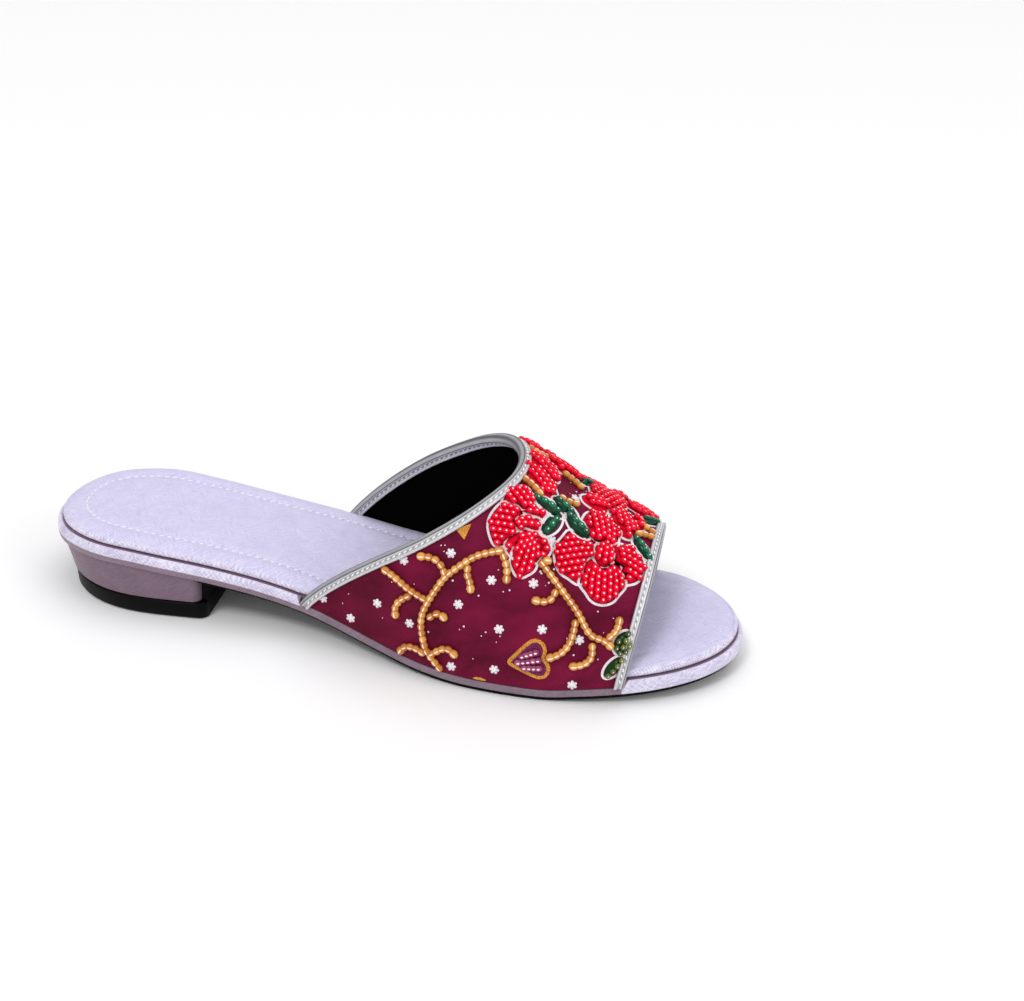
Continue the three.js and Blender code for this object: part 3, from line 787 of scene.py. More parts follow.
def makeBoard():
    seat = (boardAngles > ledgeAngles[0] + 1e-4) & (boardAngles < ledgeAngles[1] + 1e-4)
    rings = []
    shares = []
    profile = board["rim"] + board["shoulder"] + board["crevice"]
    skirt = np.interp(alongAt(boardAngles), board["skirtFade"], (1, board["skirtLeast"]))
    for outset, share in profile:
        lift = boardBottom + share * sole["boardThickness"] * (skirt if share < 0 else 1)
        if share > 0.6:
            lift = np.where(seat, min(lift, ledgeTop), lift)
        rings.append(soleRing(boardAngles, outset, lift))
        shares.append(share)
    inside = profile[-1][0] - 0.05
    rings.append(soleRing(boardAngles, inside, boardBottom + profile[-1][1] * sole["boardThickness"]))
    shares.append(profile[-1][1])
    points, faces = stackRings(rings)
    piece = newPiece("board_cover", points, faces, [finish["rim"]], closed=False)
    along = points[:, 0]
    share = np.repeat(shares, len(rings[0]))
    # the lilac ends in a slanting cut at the vamp's seat
    cut = board["cornerCut"] * (1 - share)
    under = np.minimum(along - ledgeStart - 0.2 - cut, ledgeEnd - 0.4 - cut - along)
    lower = 0.5 + (board["mauveHeight"] - share) * 3
    lower -= 4 * np.clip(along - ledgeEnd + 2.2, 0, 1)
    mask = np.maximum(0.5 + under * 0.4, lower)
    mark(piece.data, "mauve", np.clip(mask, 0, 1))
    # The crevice rings and the inner ring take the painted crevice shade
    ring = np.repeat(np.arange(len(rings)), len(rings[0]))
    first = len(board["rim"]) + len(board["shoulder"])
    mark(piece.data, "seam", ring >= first)
    keep(piece, "lilac_cover", "sole_board")


makeBoard()

# Padded sock

sock = {
    "edge": [
        (-0.9, 0),
        (-0.35, 0.06),
        (-0.08, 0.18),
        (0, 0.32),
        (-0.06, 0.46),
        (-0.3, 0.6),
        (-0.75, 0.71),
        (-1.4, 0.78),
    ],
    "across": 56,
    "rollDrop": 0.4,
    "rollReach": 3.6,
    "bulge": 0.45,
    "toePuff": 0.3,
    "crown": 0.35,
    "stitchInset": 8.5,
    "stitchPitch": 2.9,
    "stitchSize": (2.3, 0.85, 0.7),
    "stitchSlant": 0.16,
    "stitchStop": 22,
    "holeSize": (0.9, 0.7, 0.3),
    "groove": 0.5,
    "grooveWidth": 1.2,
    "notchDepth": 0.3,  # clears the feet of the bound edges
    "notchReach": 2.6,
    "puffLength": 14,
    "crownReach": 9,
    "ripple": {"height": 0.14, "along": 0.045, "across": 0.06, "layer": 3.1},
    "pleat": {"height": 0.22, "along": 0.22, "across": 0.22, "layer": 7.7},
    "pleatInset": 3.5,
}


def sockOutset(angles, outset):
    x = alongAt(angles)
    notch = np.zeros_like(x)
    for edge in ("collar", "toe"):
        at = float(edgeOf[edge](0))
        notch += sock["notchDepth"] * np.exp(-(((x - at) / sock["notchReach"]) ** 4))
    return outset - sole["rimStandOut"] - notch


# Distance in from the sock's edge
sockRim = soleRing(soleAngles, sockOutset(soleAngles, 0.0), 0)[:, :2]


def rimDistance(points):
    start = sockRim
    run = np.roll(sockRim, -1, axis=0) - start
    result = np.empty(len(points))
    for k in range(0, len(points), 2000):
        part = points[k : k + 2000, None, :2] - start[None]
        t = np.clip((part * run).sum(-1) / (run * run).sum(-1), 0, 1)
        result[k : k + 2000] = np.sqrt(((part - t[..., None] * run) ** 2).sum(-1)).min(1)
    return result


# 0 behind the vamp's toe edge and 1 in front of it
def pastVamp(x):
    t = np.clip((np.asarray(x) - ledgeEnd + 2) / sock["puffLength"], 0, 1)
    return t * t * (3 - 2 * t)


# The sock is puffier in front of the vamp, and has no stitched groove there
def sockThicknessAt(x):
    return sole["sockThickness"] * (1 + sock["toePuff"] * pastVamp(x))


def unevenness(points, row):
    spots = [Vector((p[0] * row["along"], p[1] * row["across"], row["layer"])) for p in points]
    return row["height"] * np.array([noise.noise(spot) for spot in spots])


def sockTopLift(points):
    distance = rimDistance(points)
    rolled = 1 - sock["rollDrop"] * np.exp(-distance / sock["rollReach"])
    crown = sock["crown"] * (1 - np.exp(-((distance / sock["crownReach"]) ** 2)))
    stitched = 1 - pastVamp(points[:, 0])
    margin = np.clip(distance / sock["stitchInset"], 0, 1)
    crown += stitched * sock["bulge"] * np.sin(math.pi * margin) ** 2
    offset = (distance - sock["stitchInset"]) / sock["grooveWidth"]
    quilt = -stitched * sock["groove"] * np.exp(-(offset**2))
    edgeWeight = np.exp(-((distance / sock["pleatInset"] - 1) ** 2))
    wave = unevenness(points, sock["ripple"]) + unevenness(points, sock["pleat"]) * edgeWeight
    return sockBottom + sockThicknessAt(points[:, 0]) * rolled + crown + quilt + wave


def makeSock():
    thick = sockThicknessAt(alongAt(soleAngles))
    rings = [
        soleRing(soleAngles, sockOutset(soleAngles, outset), sockBottom + share * thick)
        for outset, share in sock["edge"]
    ]
    points, faces = stackRings(rings)
    count = len(rings[0])
    top = (len(rings) - 1) * count
    faces = [f for f in faces if min(f) < top]  # the top is laid below
    medial = rings[-1][1:soleSteps]
    lateral = rings[-1][soleSteps + 1 :][::-1]
    even = np.linspace(0, 1, sock["across"] + 1)
    spread = (even + (1 - np.cos(math.pi * even)) / 2) / 2
    grid = medial[:, None] + (lateral - medial)[:, None] * spread[None, :, None]
    flat = grid.reshape(-1, 3)
    grid[..., 2] = (floorAt(flat[:, 0]) + sockTopLift(flat)).reshape(grid.shape[:2])
    grid[:, 0] = medial
    grid[:, -1] = lateral
    start = len(points)
    faces += gridFaces(soleSteps - 1, sock["across"] + 1, start)
    for k in range(sock["across"]):
        faces.append((top, start + k + 1, start + k))
        end = start + (soleSteps - 2) * (sock["across"] + 1)
        faces.append((top + soleSteps, end + k, end + k + 1))
    points = np.concatenate([points, grid.reshape(-1, 3)])
    piece = newPiece("sock_pad", points, faces, [finish["lilac"]], sharp=60)
    keep(piece, "lilac_cover", "sock")


makeSock()
print("board and sock made")

# Heel and outsole

heel = {
    "length": 61,
    "liftThickness": 7,
    "topInset": 1.6,
    "footInset": 3,
    "backRake": 2.4,
    "cornerRadius": 3.5,
    "flapInset": 3,
    "flapRound": 9,
    "liftLean": 0.6,
    "sideSteps": 46,
    "cornerSteps": 8,
}


def heelRing(inset, rake, length, heightAt):
    straight = length - heel["cornerRadius"]
    sides = []
    for side in ("medial", "lateral"):
        angles = angleAt(straight) * np.arange(1, heel["sideSteps"] + 1) / heel["sideSteps"]
        points = outlinePoint(angles, side, -inset)
        end = points[-1]
        centre = end[1] - signOf[side] * heel["cornerRadius"]
        turn = math.pi / 2 * np.arange(1, heel["cornerSteps"] + 1) / heel["cornerSteps"]
        corner = [
            end[0] + (length - end[0]) * np.sin(turn),
            centre + signOf[side] * heel["cornerRadius"] * np.cos(turn),
        ]
        sides.append(np.concatenate([points, np.stack(corner, -1)]))
    loop = np.concatenate([[[inset, 0]], sides[0], sides[1][::-1]])
    x = loop[:, 0] + rake * (1 - loop[:, 0] / length)
    return np.stack([x, loop[:, 1], heightAt(x)], -1)


def closeRings(rings):
    rings = np.asarray(rings, float)
    levels, count = rings.shape[:2]
    faces = gridFaces(levels, count, wrap=True)
    faces.append(list(range(count))[::-1])
    faces.append([(levels - 1) * count + k for k in range(count)])
    return rings.reshape(-1, 3), faces


def underBoard(x):
    return floorAt(x) + boardBottom - sole["bondGap"]


def makeHeel():
    foot = heel["liftThickness"] + sole["bondGap"]
    rings = []
    for share, extra, drop in ((0, 0.5, 0), (0, 0, 0.5), (0.5, 0, 0), (1, 0, -0.5), (1, 0.5, 0)):
        inset = heel["footInset"] + share * (heel["topInset"] - heel["footInset"]) + extra
        rake = heel["backRake"] * (1 - share)

        def height(x, share=share, drop=drop):
            return foot + share * (underBoard(x) - foot) + drop

        rings.append(heelRing(inset, rake, heel["length"], height))
    points, faces = closeRings(rings)
    keep(newPiece("heel_cover", points, faces, [finish["mauve"]]), "mauve_cover", "heel_block")

    lean = heel["liftLean"]
    length = heel["length"] + sole["bondGap"] + sole["outsoleThickness"]
    levels = [(1.5, 0), (0.95, 0.12), (0.35, 0.5), (0, 1.1), (-0.5, 6.6), (-0.2, 7)]
    rings = []
    for inset, level in levels:
        inset += heel["footInset"] + lean
        rings.append(heelRing(inset, heel["backRake"] + lean, length, lambda x, z=level: 0 * x + z))
    points, faces = closeRings(rings)
    keep(newPiece("lift_block", points, faces, [finish["lift"]]), "black_rubber", "heel_lift")


def makeOutsole():
    front = heel["length"] + sole["bondGap"]
    levels = [(-0.7, 0), (-0.35, 0.1), (-0.1, 0.35), (0, 0.7), (0, 1.5), (-0.2, 1.8)]
    rings = [soleRing(soleAngles, -sole["outsoleInset"] + outset, lift) for outset, lift in levels]
    points, faces = stackRings(rings)
    forepart = newPiece("outsole_sheet", points, faces, [finish["outsole"]])
    work = bmesh.new()
    work.from_mesh(forepart.data)
    cut = bmesh.ops.bisect_plane(
        work,
        geom=[*work.verts, *work.edges, *work.faces],
        plane_co=((front + toPart[0]) * metre, 0, 0),
        plane_no=(-1, 0, 0),
        clear_outer=True,
    )
    rim = [e for e in cut["geom_cut"] if isinstance(e, bmesh.types.BMEdge)]
    bmesh.ops.holes_fill(work, edges=rim)
    work.to_mesh(forepart.data)
    work.free()

    face = front + sole["outsoleThickness"]
    bend = face + heel["flapRound"]
    low = heel["liftThickness"] + sole["bondGap"]
    start = np.array([face, float(floorAt(face)) - heel["flapRound"] / 2])
    corner = np.array([face, float(floorAt(face))])
    end = np.array([bend, float(floorAt(bend)) + sole["outsoleThickness"] / 2])
    curve = [(1 - t) ** 2 * start + 2 * t * (1 - t) * corner + t * t * end for t in np.linspace(0, 1, 14)]
    profile = [(front, low), (face, low), *curve]
    profile.append((front, float(underBoard(front)) - sole["outsoleThickness"] / 2))
    halves = [
        signOf[side] * (float(halfWidthAt(heel["length"], side, -heel["footInset"])) - heel["flapInset"])
        for side in ("medial", "lateral")
    ]
    points = [(x, y, z) for y in halves for x, z in profile]
    count = len(profile)
    faces = gridFaces(2, count, wrap=True)
    faces += [list(range(count)), [count + k for k in range(count)][::-1]]
    flap = newPiece("outsole_flap", points, faces, [finish["outsole"]])
    join = forepart.modifiers.new("flap", "BOOLEAN")
    join.operation = "UNION"
    join.object = flap
    settle(forepart)
    bpy.data.objects.remove(flap)
    forepart.data.shade_smooth()
    forepart.data.set_sharp_from_angle(angle=math.radians(35))
    keep(forepart, "black_rubber", "outsole")


# The evaluated mesh takes the place of the piece's own, and its modifiers go
def settle(piece):
    ready = piece.evaluated_get(bpy.context.evaluated_depsgraph_get())
    mesh = bpy.data.meshes.new_from_object(ready)
    piece.modifiers.clear()
    piece.data = mesh
    return piece


makeHeel()
makeOutsole()
print("heel and outsole made")

# Vamp

cover = {"columns": 150, "rows": 200, "puff": 0.28, "puffSize": 13, "liningPuff": 0.15}


def makeVamp():
    columns, rows = cover["columns"], cover["rows"]
    spread = (np.linspace(0, 1, count + 1) for count in (columns, rows))
    share, around = np.meshgrid(*spread, indexing="ij")
    flat, normal = onVamp(share, around)
    soft = np.minimum(1, np.minimum(share, 1 - share) * 12)
    soft = soft * np.minimum(1, np.minimum(around, 1 - around) * 25)
    puff = np.array([noise.noise(Vector(p) / cover["puffSize"]) for p in flat.reshape(-1, 3)])
    puff = puff.reshape(share.shape) * soft
    outer = flat + normal * (puff * cover["puff"] - 0.05)[..., None]
    inner = flat - normal * (vamp["wall"] - puff * cover["liningPuff"])[..., None]
    size = outer[..., 0].size
    width = rows + 1
    points = np.concatenate([outer.reshape(-1, 3), inner.reshape(-1, 3)])
    outerFaces = gridFaces(columns + 1, width)
    innerFaces = [tuple(v + size for v in f[::-1]) for f in outerFaces]
    rim = []
    for j in range(rows):
        rim.append((j, j + 1, size + j + 1, size + j))
        a = columns * width + j
        rim.append((a + 1, a, size + a, size + a + 1))
    for i in range(columns):
        a = i * width
        rim.append((a + width, a, size + a, size + a + width))
        b = a + rows
        rim.append((b, b + width, size + b + width, size + b))
    faces = outerFaces + innerFaces + rim
    which = [0] * len(outerFaces) + [1] * (len(innerFaces) + len(rim))
    roundabout = travelled(flat, axis=1)
    roundabout -= roundabout[:, [rows // 2]]
    uv = np.stack([travelled(flat), roundabout], -1).reshape(-1, 2)
    uv = np.concatenate([uv, uv])
    materials = [finish["cloth"], finish["lining"]]
    piece = newPiece("vamp_cloth", points, faces, materials, which, uv, sharp=60)
    keep(piece, "burgundy_fabric", "vamp")


makeVamp()
print("vamp made")

# Bound edges

binding = {
    "halfGap": 1.1,
    "skin": 0.8,
    "flap": 1.9,
    "stations": 170,
    "ridge": 0.3,
    "groove": 0.22,
    "stitchPitch": 2.3,
    "stitchSize": (1.75, 0.62, 0.5),
    "stitchSlant": 0.3,
}


def bindingSection():
    inner = binding["halfGap"]
    outer = inner + binding["skin"]
    ridge = binding["ridge"]
    flap = binding["flap"]
    groove = binding["groove"]
    # Each point's third number is how much painted shade it takes: the bands on the nose stand for
    # reflections, and the groove and the binding's foot are shaded
    side = [
        (flap, inner, 0.4),
        (flap + 0.1, outer - 0.35, 0.3),
        (flap, outer - 0.05, 0.1),
        (flap - 0.25, outer + ridge * 0.8, 0),
        (flap - 0.55, outer + ridge, 0),
        (flap - 0.85, outer + ridge * 0.5, 0),
        (flap - 1.05, outer - groove * 0.6, 0.25),
        (flap - 1.5, outer - groove, 0.6),
        (flap - 1.95, outer - groove * 0.6, 0.25),
        (flap - 2.15, outer + ridge * 0.4, 0),
        (flap - 2.4, outer + ridge * 0.7, 0),
        (flap - 2.65, outer + ridge * 0.1, 1),
        (flap - 2.8, outer - 0.02, 1),
    ]
    nose = []
    paintedShades = (0.7, 0.45, 0.35, 0.75, 1, 1, 0.75, 0.35, 0.3, 0.45)
    for turn, shadeWeight in zip(np.linspace(math.radians(118), math.radians(242), len(paintedShades)), paintedShades):
        nose.append((outer * math.cos(turn), outer * math.sin(turn), shadeWeight))
    back = [(b, -n, shadeWeight) for b, n, shadeWeight in reversed(side)]
    return np.array(side + nose + back + [(-0.3, -inner, 0), (-0.3, inner, 0)])


def makeBinding(name, node, edge, inward):
    around = np.linspace(0, 1, binding["stations"] + 1)
    turn = around * math.pi
    along = edgeOf[edge](turn)
    normal = vampNormal(along, turn)

    def wallMiddle(a):
        at = edgeOf[edge](a * math.pi)
        return vampFace(at, a * math.pi) - vampNormal(at, a * math.pi) * vamp["wall"] / 2

    inside = np.clip(around, step, 1 - step)
    tangent = unit(wallMiddle(inside + step) - wallMiddle(inside - step))
    into = unit(np.cross(tangent, normal)) * inward
    at = wallMiddle(around)
    profile = bindingSection()
    section = profile[:, :2]
    loops = at[:, None] + into[:, None] * section[None, :, :1] + normal[:, None] * section[None, :, 1:]
    # each end runs down to the seat, the inner flap to the board's top
    ends = []
    for k, way in ((0, -1), (-1, 1)):
        loop = loops[k].copy()
        run = tangent[k] * way
        level = np.where(section[:, 1] < -0.9, boardTop, ledgeTop) + sole["bondGap"]
        for _ in range(4):
            gap = loop[:, 2] - (floorAt(loop[:, 0]) + level)
            loop += run * (gap / -run[2])[:, None]
        ends.append(loop)
    loops = np.concatenate([ends[0][None], loops, ends[1][None]])
    count = len(section)
    points = loops.reshape(-1, 3)
    faces = gridFaces(len(loops), count, wrap=True)
    last = (len(loops) - 1) * count
    faces += [list(range(count))[::-1], [last + k for k in range(count)]]
    girth = travelled(section)[None, :]
    travel = travelled(loops[:, 5])[:, None]
    uv = np.stack(np.broadcast_arrays(girth, travel), -1).reshape(-1, 2)
    piece = newPiece(name, points, faces, [finish["silver"]], None, uv, sharp=50)
    mark(piece.data, "dark", np.tile(profile[:, 2], len(loops)))
    keep(piece, "silver_binding", node)
    seam = []
    for height in (1, -1):
        level = binding["halfGap"] + binding["skin"] - binding["groove"] + 0.1
        line = at + into * (binding["flap"] - 1.5) + normal * height * level
        seam.append((line, normal * height))
    return seam


bindingSeams = [
    *makeBinding("collar_edging", "collar_binding", "collar", 1),
    *makeBinding("toe_edging", "toe_binding", "toe", -1),
]
print("bound edges made")

# Repeated shapes: one tree puts a shape on every point of a mesh, turned to the point's
# facing and running directions


def repeatTree(name, shape, sizes, material):
    tree = bpy.data.node_groups.new(name, "GeometryNodeTree")
    tree.interface.new_socket(name="Geometry", in_out="INPUT", socket_type="NodeSocketGeometry")
    for label in sizes:
        kind = "NodeSocketInt" if label in ("Segments", "Rings", "Petals") else "NodeSocketFloat"
        tree.interface.new_socket(name=label, in_out="INPUT", socket_type=kind)
    tree.interface.new_socket(name="Geometry", in_out="OUTPUT", socket_type="NodeSocketGeometry")
    kit = NodeKit(tree)
    given = tree.nodes.new("NodeGroupInput")
    inputs = {socket.name: Wire(kit, socket) for socket in given.outputs if socket.name}
    piece = shape(kit, inputs)

    def stored(label):
        return kit.add("GeometryNodeInputNamedAttribute", {"data_type": "FLOAT_VECTOR"}, {"Name": label})

    align = "FunctionNodeAlignRotationToVector"
    stand = kit.add(align, {"axis": "Z"}, {"Vector": stored("facing")})
    values = {"Rotation": stand, "Vector": stored("running")}
    turned = kit.add(align, {"axis": "X", "pivot_axis": "Z"}, values)
    values = {"Points": inputs["Geometry"], "Instance": piece, "Rotation": turned, "Scale": stored("spread")}
    placed = kit.add("GeometryNodeInstanceOnPoints", {}, values)
    real = kit.add("GeometryNodeRealizeInstances", {}, {"Geometry": placed})
    smooth = kit.add("GeometryNodeSetShadeSmooth", {}, {0: real})
    done = kit.add("GeometryNodeSetMaterial", {}, {"Geometry": smooth, "Material": material})
    kit.add("NodeGroupOutput", {}, {0: done})
    return tree


def beadShape(kit, inputs):
    values = {"Segments": inputs["Segments"], "Rings": inputs["Rings"], "Radius": 0.5 * metre}
    ball = kit.add("GeometryNodeMeshUVSphere", {}, values)
    place = kit.add("GeometryNodeInputPosition")
    local = kit.add("ShaderNodeVectorMath", {"operation": "SCALE"}, {0: place, 3: 2 / metre})
    settings = {"data_type": "FLOAT_VECTOR", "domain": "POINT"}
    values = {"Geometry": ball, "Name": "local", "Value": local}
    marked = kit.add("GeometryNodeStoreNamedAttribute", settings, values)
    values = {0: inputs["Length"], 1: inputs["Width"], 2: inputs["Height"]}
    spread = kit.add("ShaderNodeCombineXYZ", {}, values)
    return kit.add("GeometryNodeTransform", {}, {"Geometry": marked, "Scale": spread})


# A disc whose edge goes in and out once for each petal, with a little thickness
def flowerShape(kit, inputs):
    values = {"Vertices": 48, "Radius": 0.5 * metre}
    disc = kit.add("GeometryNodeMeshCircle", {"fill_type": "TRIANGLE_FAN"}, values)
    place = kit.add("GeometryNodeInputPosition")
    apart = kit.add("ShaderNodeSeparateXYZ", {}, {0: place}).socket.node
    across, upward, _ = (Wire(kit, socket) for socket in apart.outputs)
    turn = kit.add("ShaderNodeMath", {"operation": "ARCTAN2"}, {0: upward, 1: across})
    lobes = kit.add("ShaderNodeMath", {"operation": "COSINE"}, {0: turn * (inputs["Petals"] * 0.5)})
    lobes = kit.add("ShaderNodeMath", {"operation": "ABSOLUTE"}, {0: lobes})
    grow = (0.45 + lobes**0.5 * 0.55) * inputs["Width"]
    moved = kit.add("ShaderNodeVectorMath", {"operation": "SCALE"}, {0: place, 3: grow})
    shaped = kit.add("GeometryNodeSetPosition", {}, {"Geometry": disc, "Position": moved})
    values = {"Mesh": shaped, "Offset": (0, 0, 1), "Offset Scale": inputs["Height"] * metre}
    return kit.add("GeometryNodeExtrudeMesh", {}, {**values, "Individual": False})


def repeatShape(name, shape, sizes, material, places):
    tree = repeatTree(name + "_nodes", shape, sizes, material)
    points = np.concatenate([p["at"] for p in places])
    mesh = bpy.data.meshes.new(name)
    mesh.from_pydata(((points + toPart) * metre).tolist(), [], [])
    for label in ("facing", "running", "spread"):
        values = [np.broadcast_to(p.get(label, (1, 1, 1)), p["at"].shape) for p in places]
        mark(mesh, label, np.concatenate(values), "FLOAT_VECTOR", "vector")
    mark(mesh, "shade", np.random.default_rng(11).random(len(points)))
    piece = bpy.data.objects.new(name, mesh)
    scene.collection.objects.link(piece)
    modifier = piece.modifiers.new("repeat", "NODES")
    modifier.node_group = tree
    for item in tree.interface.items_tree:
        if item.in_out == "INPUT" and item.name in sizes:
            modifier[item.identifier] = sizes[item.name]
    settle(piece)
    for label in ("facing", "running", "spread"):
        if label in piece.data.attributes:
            piece.data.attributes.remove(piece.data.attributes[label])
    print(name, len(points), "shapes,", len(piece.data.polygons), "faces")
    return piece


def keepBeads(name, places, size, material, slot, *replaced, segments=8, rings=6):
    sizes = {"Segments": segments, "Rings": rings}
    sizes.update(zip(("Length", "Width", "Height"), size))
    keep(repeatShape(name, beadShape, sizes, finish[material], places), slot, *replaced)


# Points at equal spacing along a fine line on a surface
def walkLine(line, facing, pitch, start=0.0):
    travel = travelled(line)
    stop = travel[-1]
    count = max(1, round((stop - start) / pitch))
    at = start + (np.arange(count) + 0.5) * (stop - start) / count

    def along(values, spots):
        return np.stack([np.interp(spots, travel, values[:, k]) for k in range(3)], -1)

    running = unit(along(line, at + 0.2) - along(line, at - 0.2))
    return {"at": along(line, at), "facing": unit(along(facing, at)), "running": running}


# Turns each stitch a little across its line
def slant(row, amount):
    aside = np.cross(row["facing"], row["running"])
    row["running"] = unit(row["running"] + amount * aside)


def makeStitches():
    inset = soleRing(soleAngles, -sole["rimStandOut"] - sock["stitchInset"], 0)
    half = soleSteps + 1
    reach = ledgeEnd - sock["stitchStop"]
    medial = inset[:half]
    lateral = np.concatenate([inset[:1], inset[half:][::-1]])
    medial = medial[medial[:, 0] < reach]
    lateral = lateral[lateral[:, 0] < reach]
    line = np.concatenate([medial[::-1], lateral[1:]])
    line[:, 2] = floorAt(line[:, 0]) + sockTopLift(line) + 0.02
    up = np.broadcast_to([0.0, 0, 1], line.shape)
    row = walkLine(line, up, sock["stitchPitch"])
    # Dark spots between the stitches: the needle holes are real, and their darkness is painted shade
    holes = walkLine(line - [0, 0, 0.1], up, sock["stitchPitch"], sock["stitchPitch"] / 2)
    slant(row, sock["stitchSlant"])
    keepBeads("sock_stitches", [row], sock["stitchSize"], "thread", "lilac_cover", rings=5)
    keepBeads("needle_holes", [holes], sock["holeSize"], "hole", "lilac_cover", rings=4)

    rows = [walkLine(*seam, binding["stitchPitch"], 1.5) for seam in bindingSeams]
    for row in rows:
        slant(row, binding["stitchSlant"])
    size = binding["stitchSize"]
    keepBeads("binding_stitches", rows, size, "shine", "silver_binding", segments=6, rings=5)


makeStitches()
print("stitches made")

# Beadwork and print of the medial half, which the lateral half mirrors

# Each lobe is base, tip, width, fullness, rise and what it grows together with. The first
# petals lie over the later ones.
petals = [
    ((0.68, 0.378), (0.73, 0.31), 6.5, 0.9, 0.7),
    ((0.7, 0.343), (0.82, 0.219), 14.5, 1.05),
    ((0.7, 0.348), (0.495, 0.284), 17, 1.25),
    ((0.7, 0.352), (0.958, 0.335), 15, 1.2),
    ((0.708, 0.345), (0.545, 0.47), 14, 1.25),
    ((0.318, 0.3), (0.427, 0.212), 9, 0.85, 0, "lip"),
    ((0.265, 0.258), (0.435, 0.298), 10.5, 0.95, 0, "lip"),
    ((0.2, 0.312), (0.325, 0.34), 5.4, 1),
    ((0.19, 0.352), (0.29, 0.372), 5.2, 1, 0, "top"),
    ((0.285, 0.314), (0.105, 0.286), 14.5, 1.3),
    ((0.235, 0.345), (0.03, 0.379), 11.5, 1.35, 0, "top"),
]
crestPetals = [
    ((0.27, 0.43), (0.02, 0.487), 8.5, 1),
    ((0.24, 0.5), (0.03, 0.545), 9, 1.1),
    ((0.18, 0.585), (0.42, 0.6), 8, 1, 0.4),
    ((0.667, 0.548), (0.802, 0.435), 9.5, 1.2),
    ((0.667, 0.535), (0.43, 0.5), 8.5, 1.1),
    ((0.7, 0.54), (0.88, 0.51), 8.5, 1.2),
]
leaves = [
    ((0.385, 0.407), (0.572, 0.374), 5, 1.1, 0.5),
    ((0.445, 0.415), (0.258, 0.434), 4.4, 0.9),
    ((0.372, 0.4), (0.168, 0.399), 4.6, 0.9),
    ((0.346, 0.398), (0.351, 0.322), 5, 1),
    ((0.84, 0.448), (0.975, 0.393), 3.8, 1),
]
toeLeaves = [
    ((0.967, 0.098), (0.977, 0.158), 6, 1),
    ((0.985, 0.088), (0.948, 0.034), 4.2, 1),
]
amberStrings = [
    [(0.461, 0.003), (0.42, 0.014), (0.381, 0.025), (0.341, 0.042), (0.28, 0.074), (0.25, 0.1),
     (0.221, 0.133), (0.205, 0.155), (0.203, 0.182), (0.214, 0.212), (0.246, 0.231), (0.274, 0.244)],
    [(0.286, 0.238), (0.35, 0.218), (0.408, 0.189)],
    [(0.228, 0.19), (0.255, 0.176), (0.293, 0.164), (0.331, 0.148)],
    [(0.2, 0.157), (0.144, 0.171), (0.1, 0.175), (0.052, 0.166)],
    [(0.237, 0.104), (0.153, 0.107), (0.075, 0.113), (0.035, 0.114)],
    [(0.185, 0.099), (0.182, 0.078), (0.195, 0.066), (0.224, 0.053)],
    [(0.3, 0.076), (0.318, 0.092), (0.349, 0.086)],
    [(0.385, 0.018), (0.345, 0.021), (0.32, 0.014), (0.322, 0.004)],
    [(0.399, 0.02), (0.41, 0.032), (0.428, 0.04), (0.47, 0.033)],
    [(0.444, 0.26), (0.556, 0.237), (0.677, 0.205), (0.769, 0.171), (0.851, 0.135), (0.894, 0.129),
     (0.935, 0.114)],
    [(0.448, 0.264), (0.488, 0.273)],
    [(0.595, 0.218), (0.607, 0.197), (0.582, 0.182), (0.546, 0.179)],
    [(0.752, 0.165), (0.775, 0.127), (0.776, 0.097), (0.757, 0.08), (0.735, 0.072)],
    [(0.906, 0.136), (0.926, 0.16), (0.921, 0.192)],
    [(0.858, 0.118), (0.876, 0.082), (0.858, 0.065), (0.823, 0.06)],
]
crestStrings = [
    [(0.03, 0.43), (0.11, 0.425), (0.19, 0.412)],
    [(0.28, 0.445), (0.36, 0.45), (0.42, 0.462)],
    [(0.84, 0.465), (0.9, 0.48), (0.965, 0.488)],
]
goldPrint = [
    ((0.56, 0.002), (0.602, 0.002), 1.8, 1),
]
goldCorner = {"left": (0.024, 0.243), "right": (0.05, 0.266), "tip": (0.105, 0.231), "steps": 8}
printedFlowers = [
    (0.024, 0.018), (0.134, 0.007), (0.145, 0.055), (0.04, 0.145), (0.27, 0.053), (0.125, 0.197),
    (0.336, 0.118), (0.479, 0.012), (0.354, 0.181), (0.604, 0.025), (0.526, 0.1), (0.499, 0.21),
    (0.657, 0.127), (0.411, 0.319), (0.808, 0.121), (0.858, 0.012), (0.386, 0.486),
]
beadwork = {
    "redPitch": 2.1,
    "redRow": 2.0,
    "redSize": (2.9, 2.4, 2.0),
    "stringPitch": 2.35,
    "stringSize": (3.3, 2.85, 2.4),
    "endGrow": 1.12,
    "leafPitch": 2.6,
    "leafRow": 9,
    "leafSize": (3.4, 2.4, 1.5),
    "dome": 1.1,
    "ruffle": 0.075,
    "outlineWidth": 1.0,
    "outlineGap": 0.15,
    "petalPad": 0.55,
    "leafPad": 0.9,
    "tipPad": 0.4,
    "tipPitch": 2.3,
    "tipRow": 1.9,
    "tipSize": (2.4, 2.0, 1.7),
    "stringLift": 0.85,
    "outlineHeight": 0.16,
    "goldHeight": 0.22,
    "sunk": 0.12,  # how far a pad's rim lies under the vamp's face
}


def mirrored(spot, half):
    return (spot[0], 1 - spot[1]) if half == "lateral" else spot


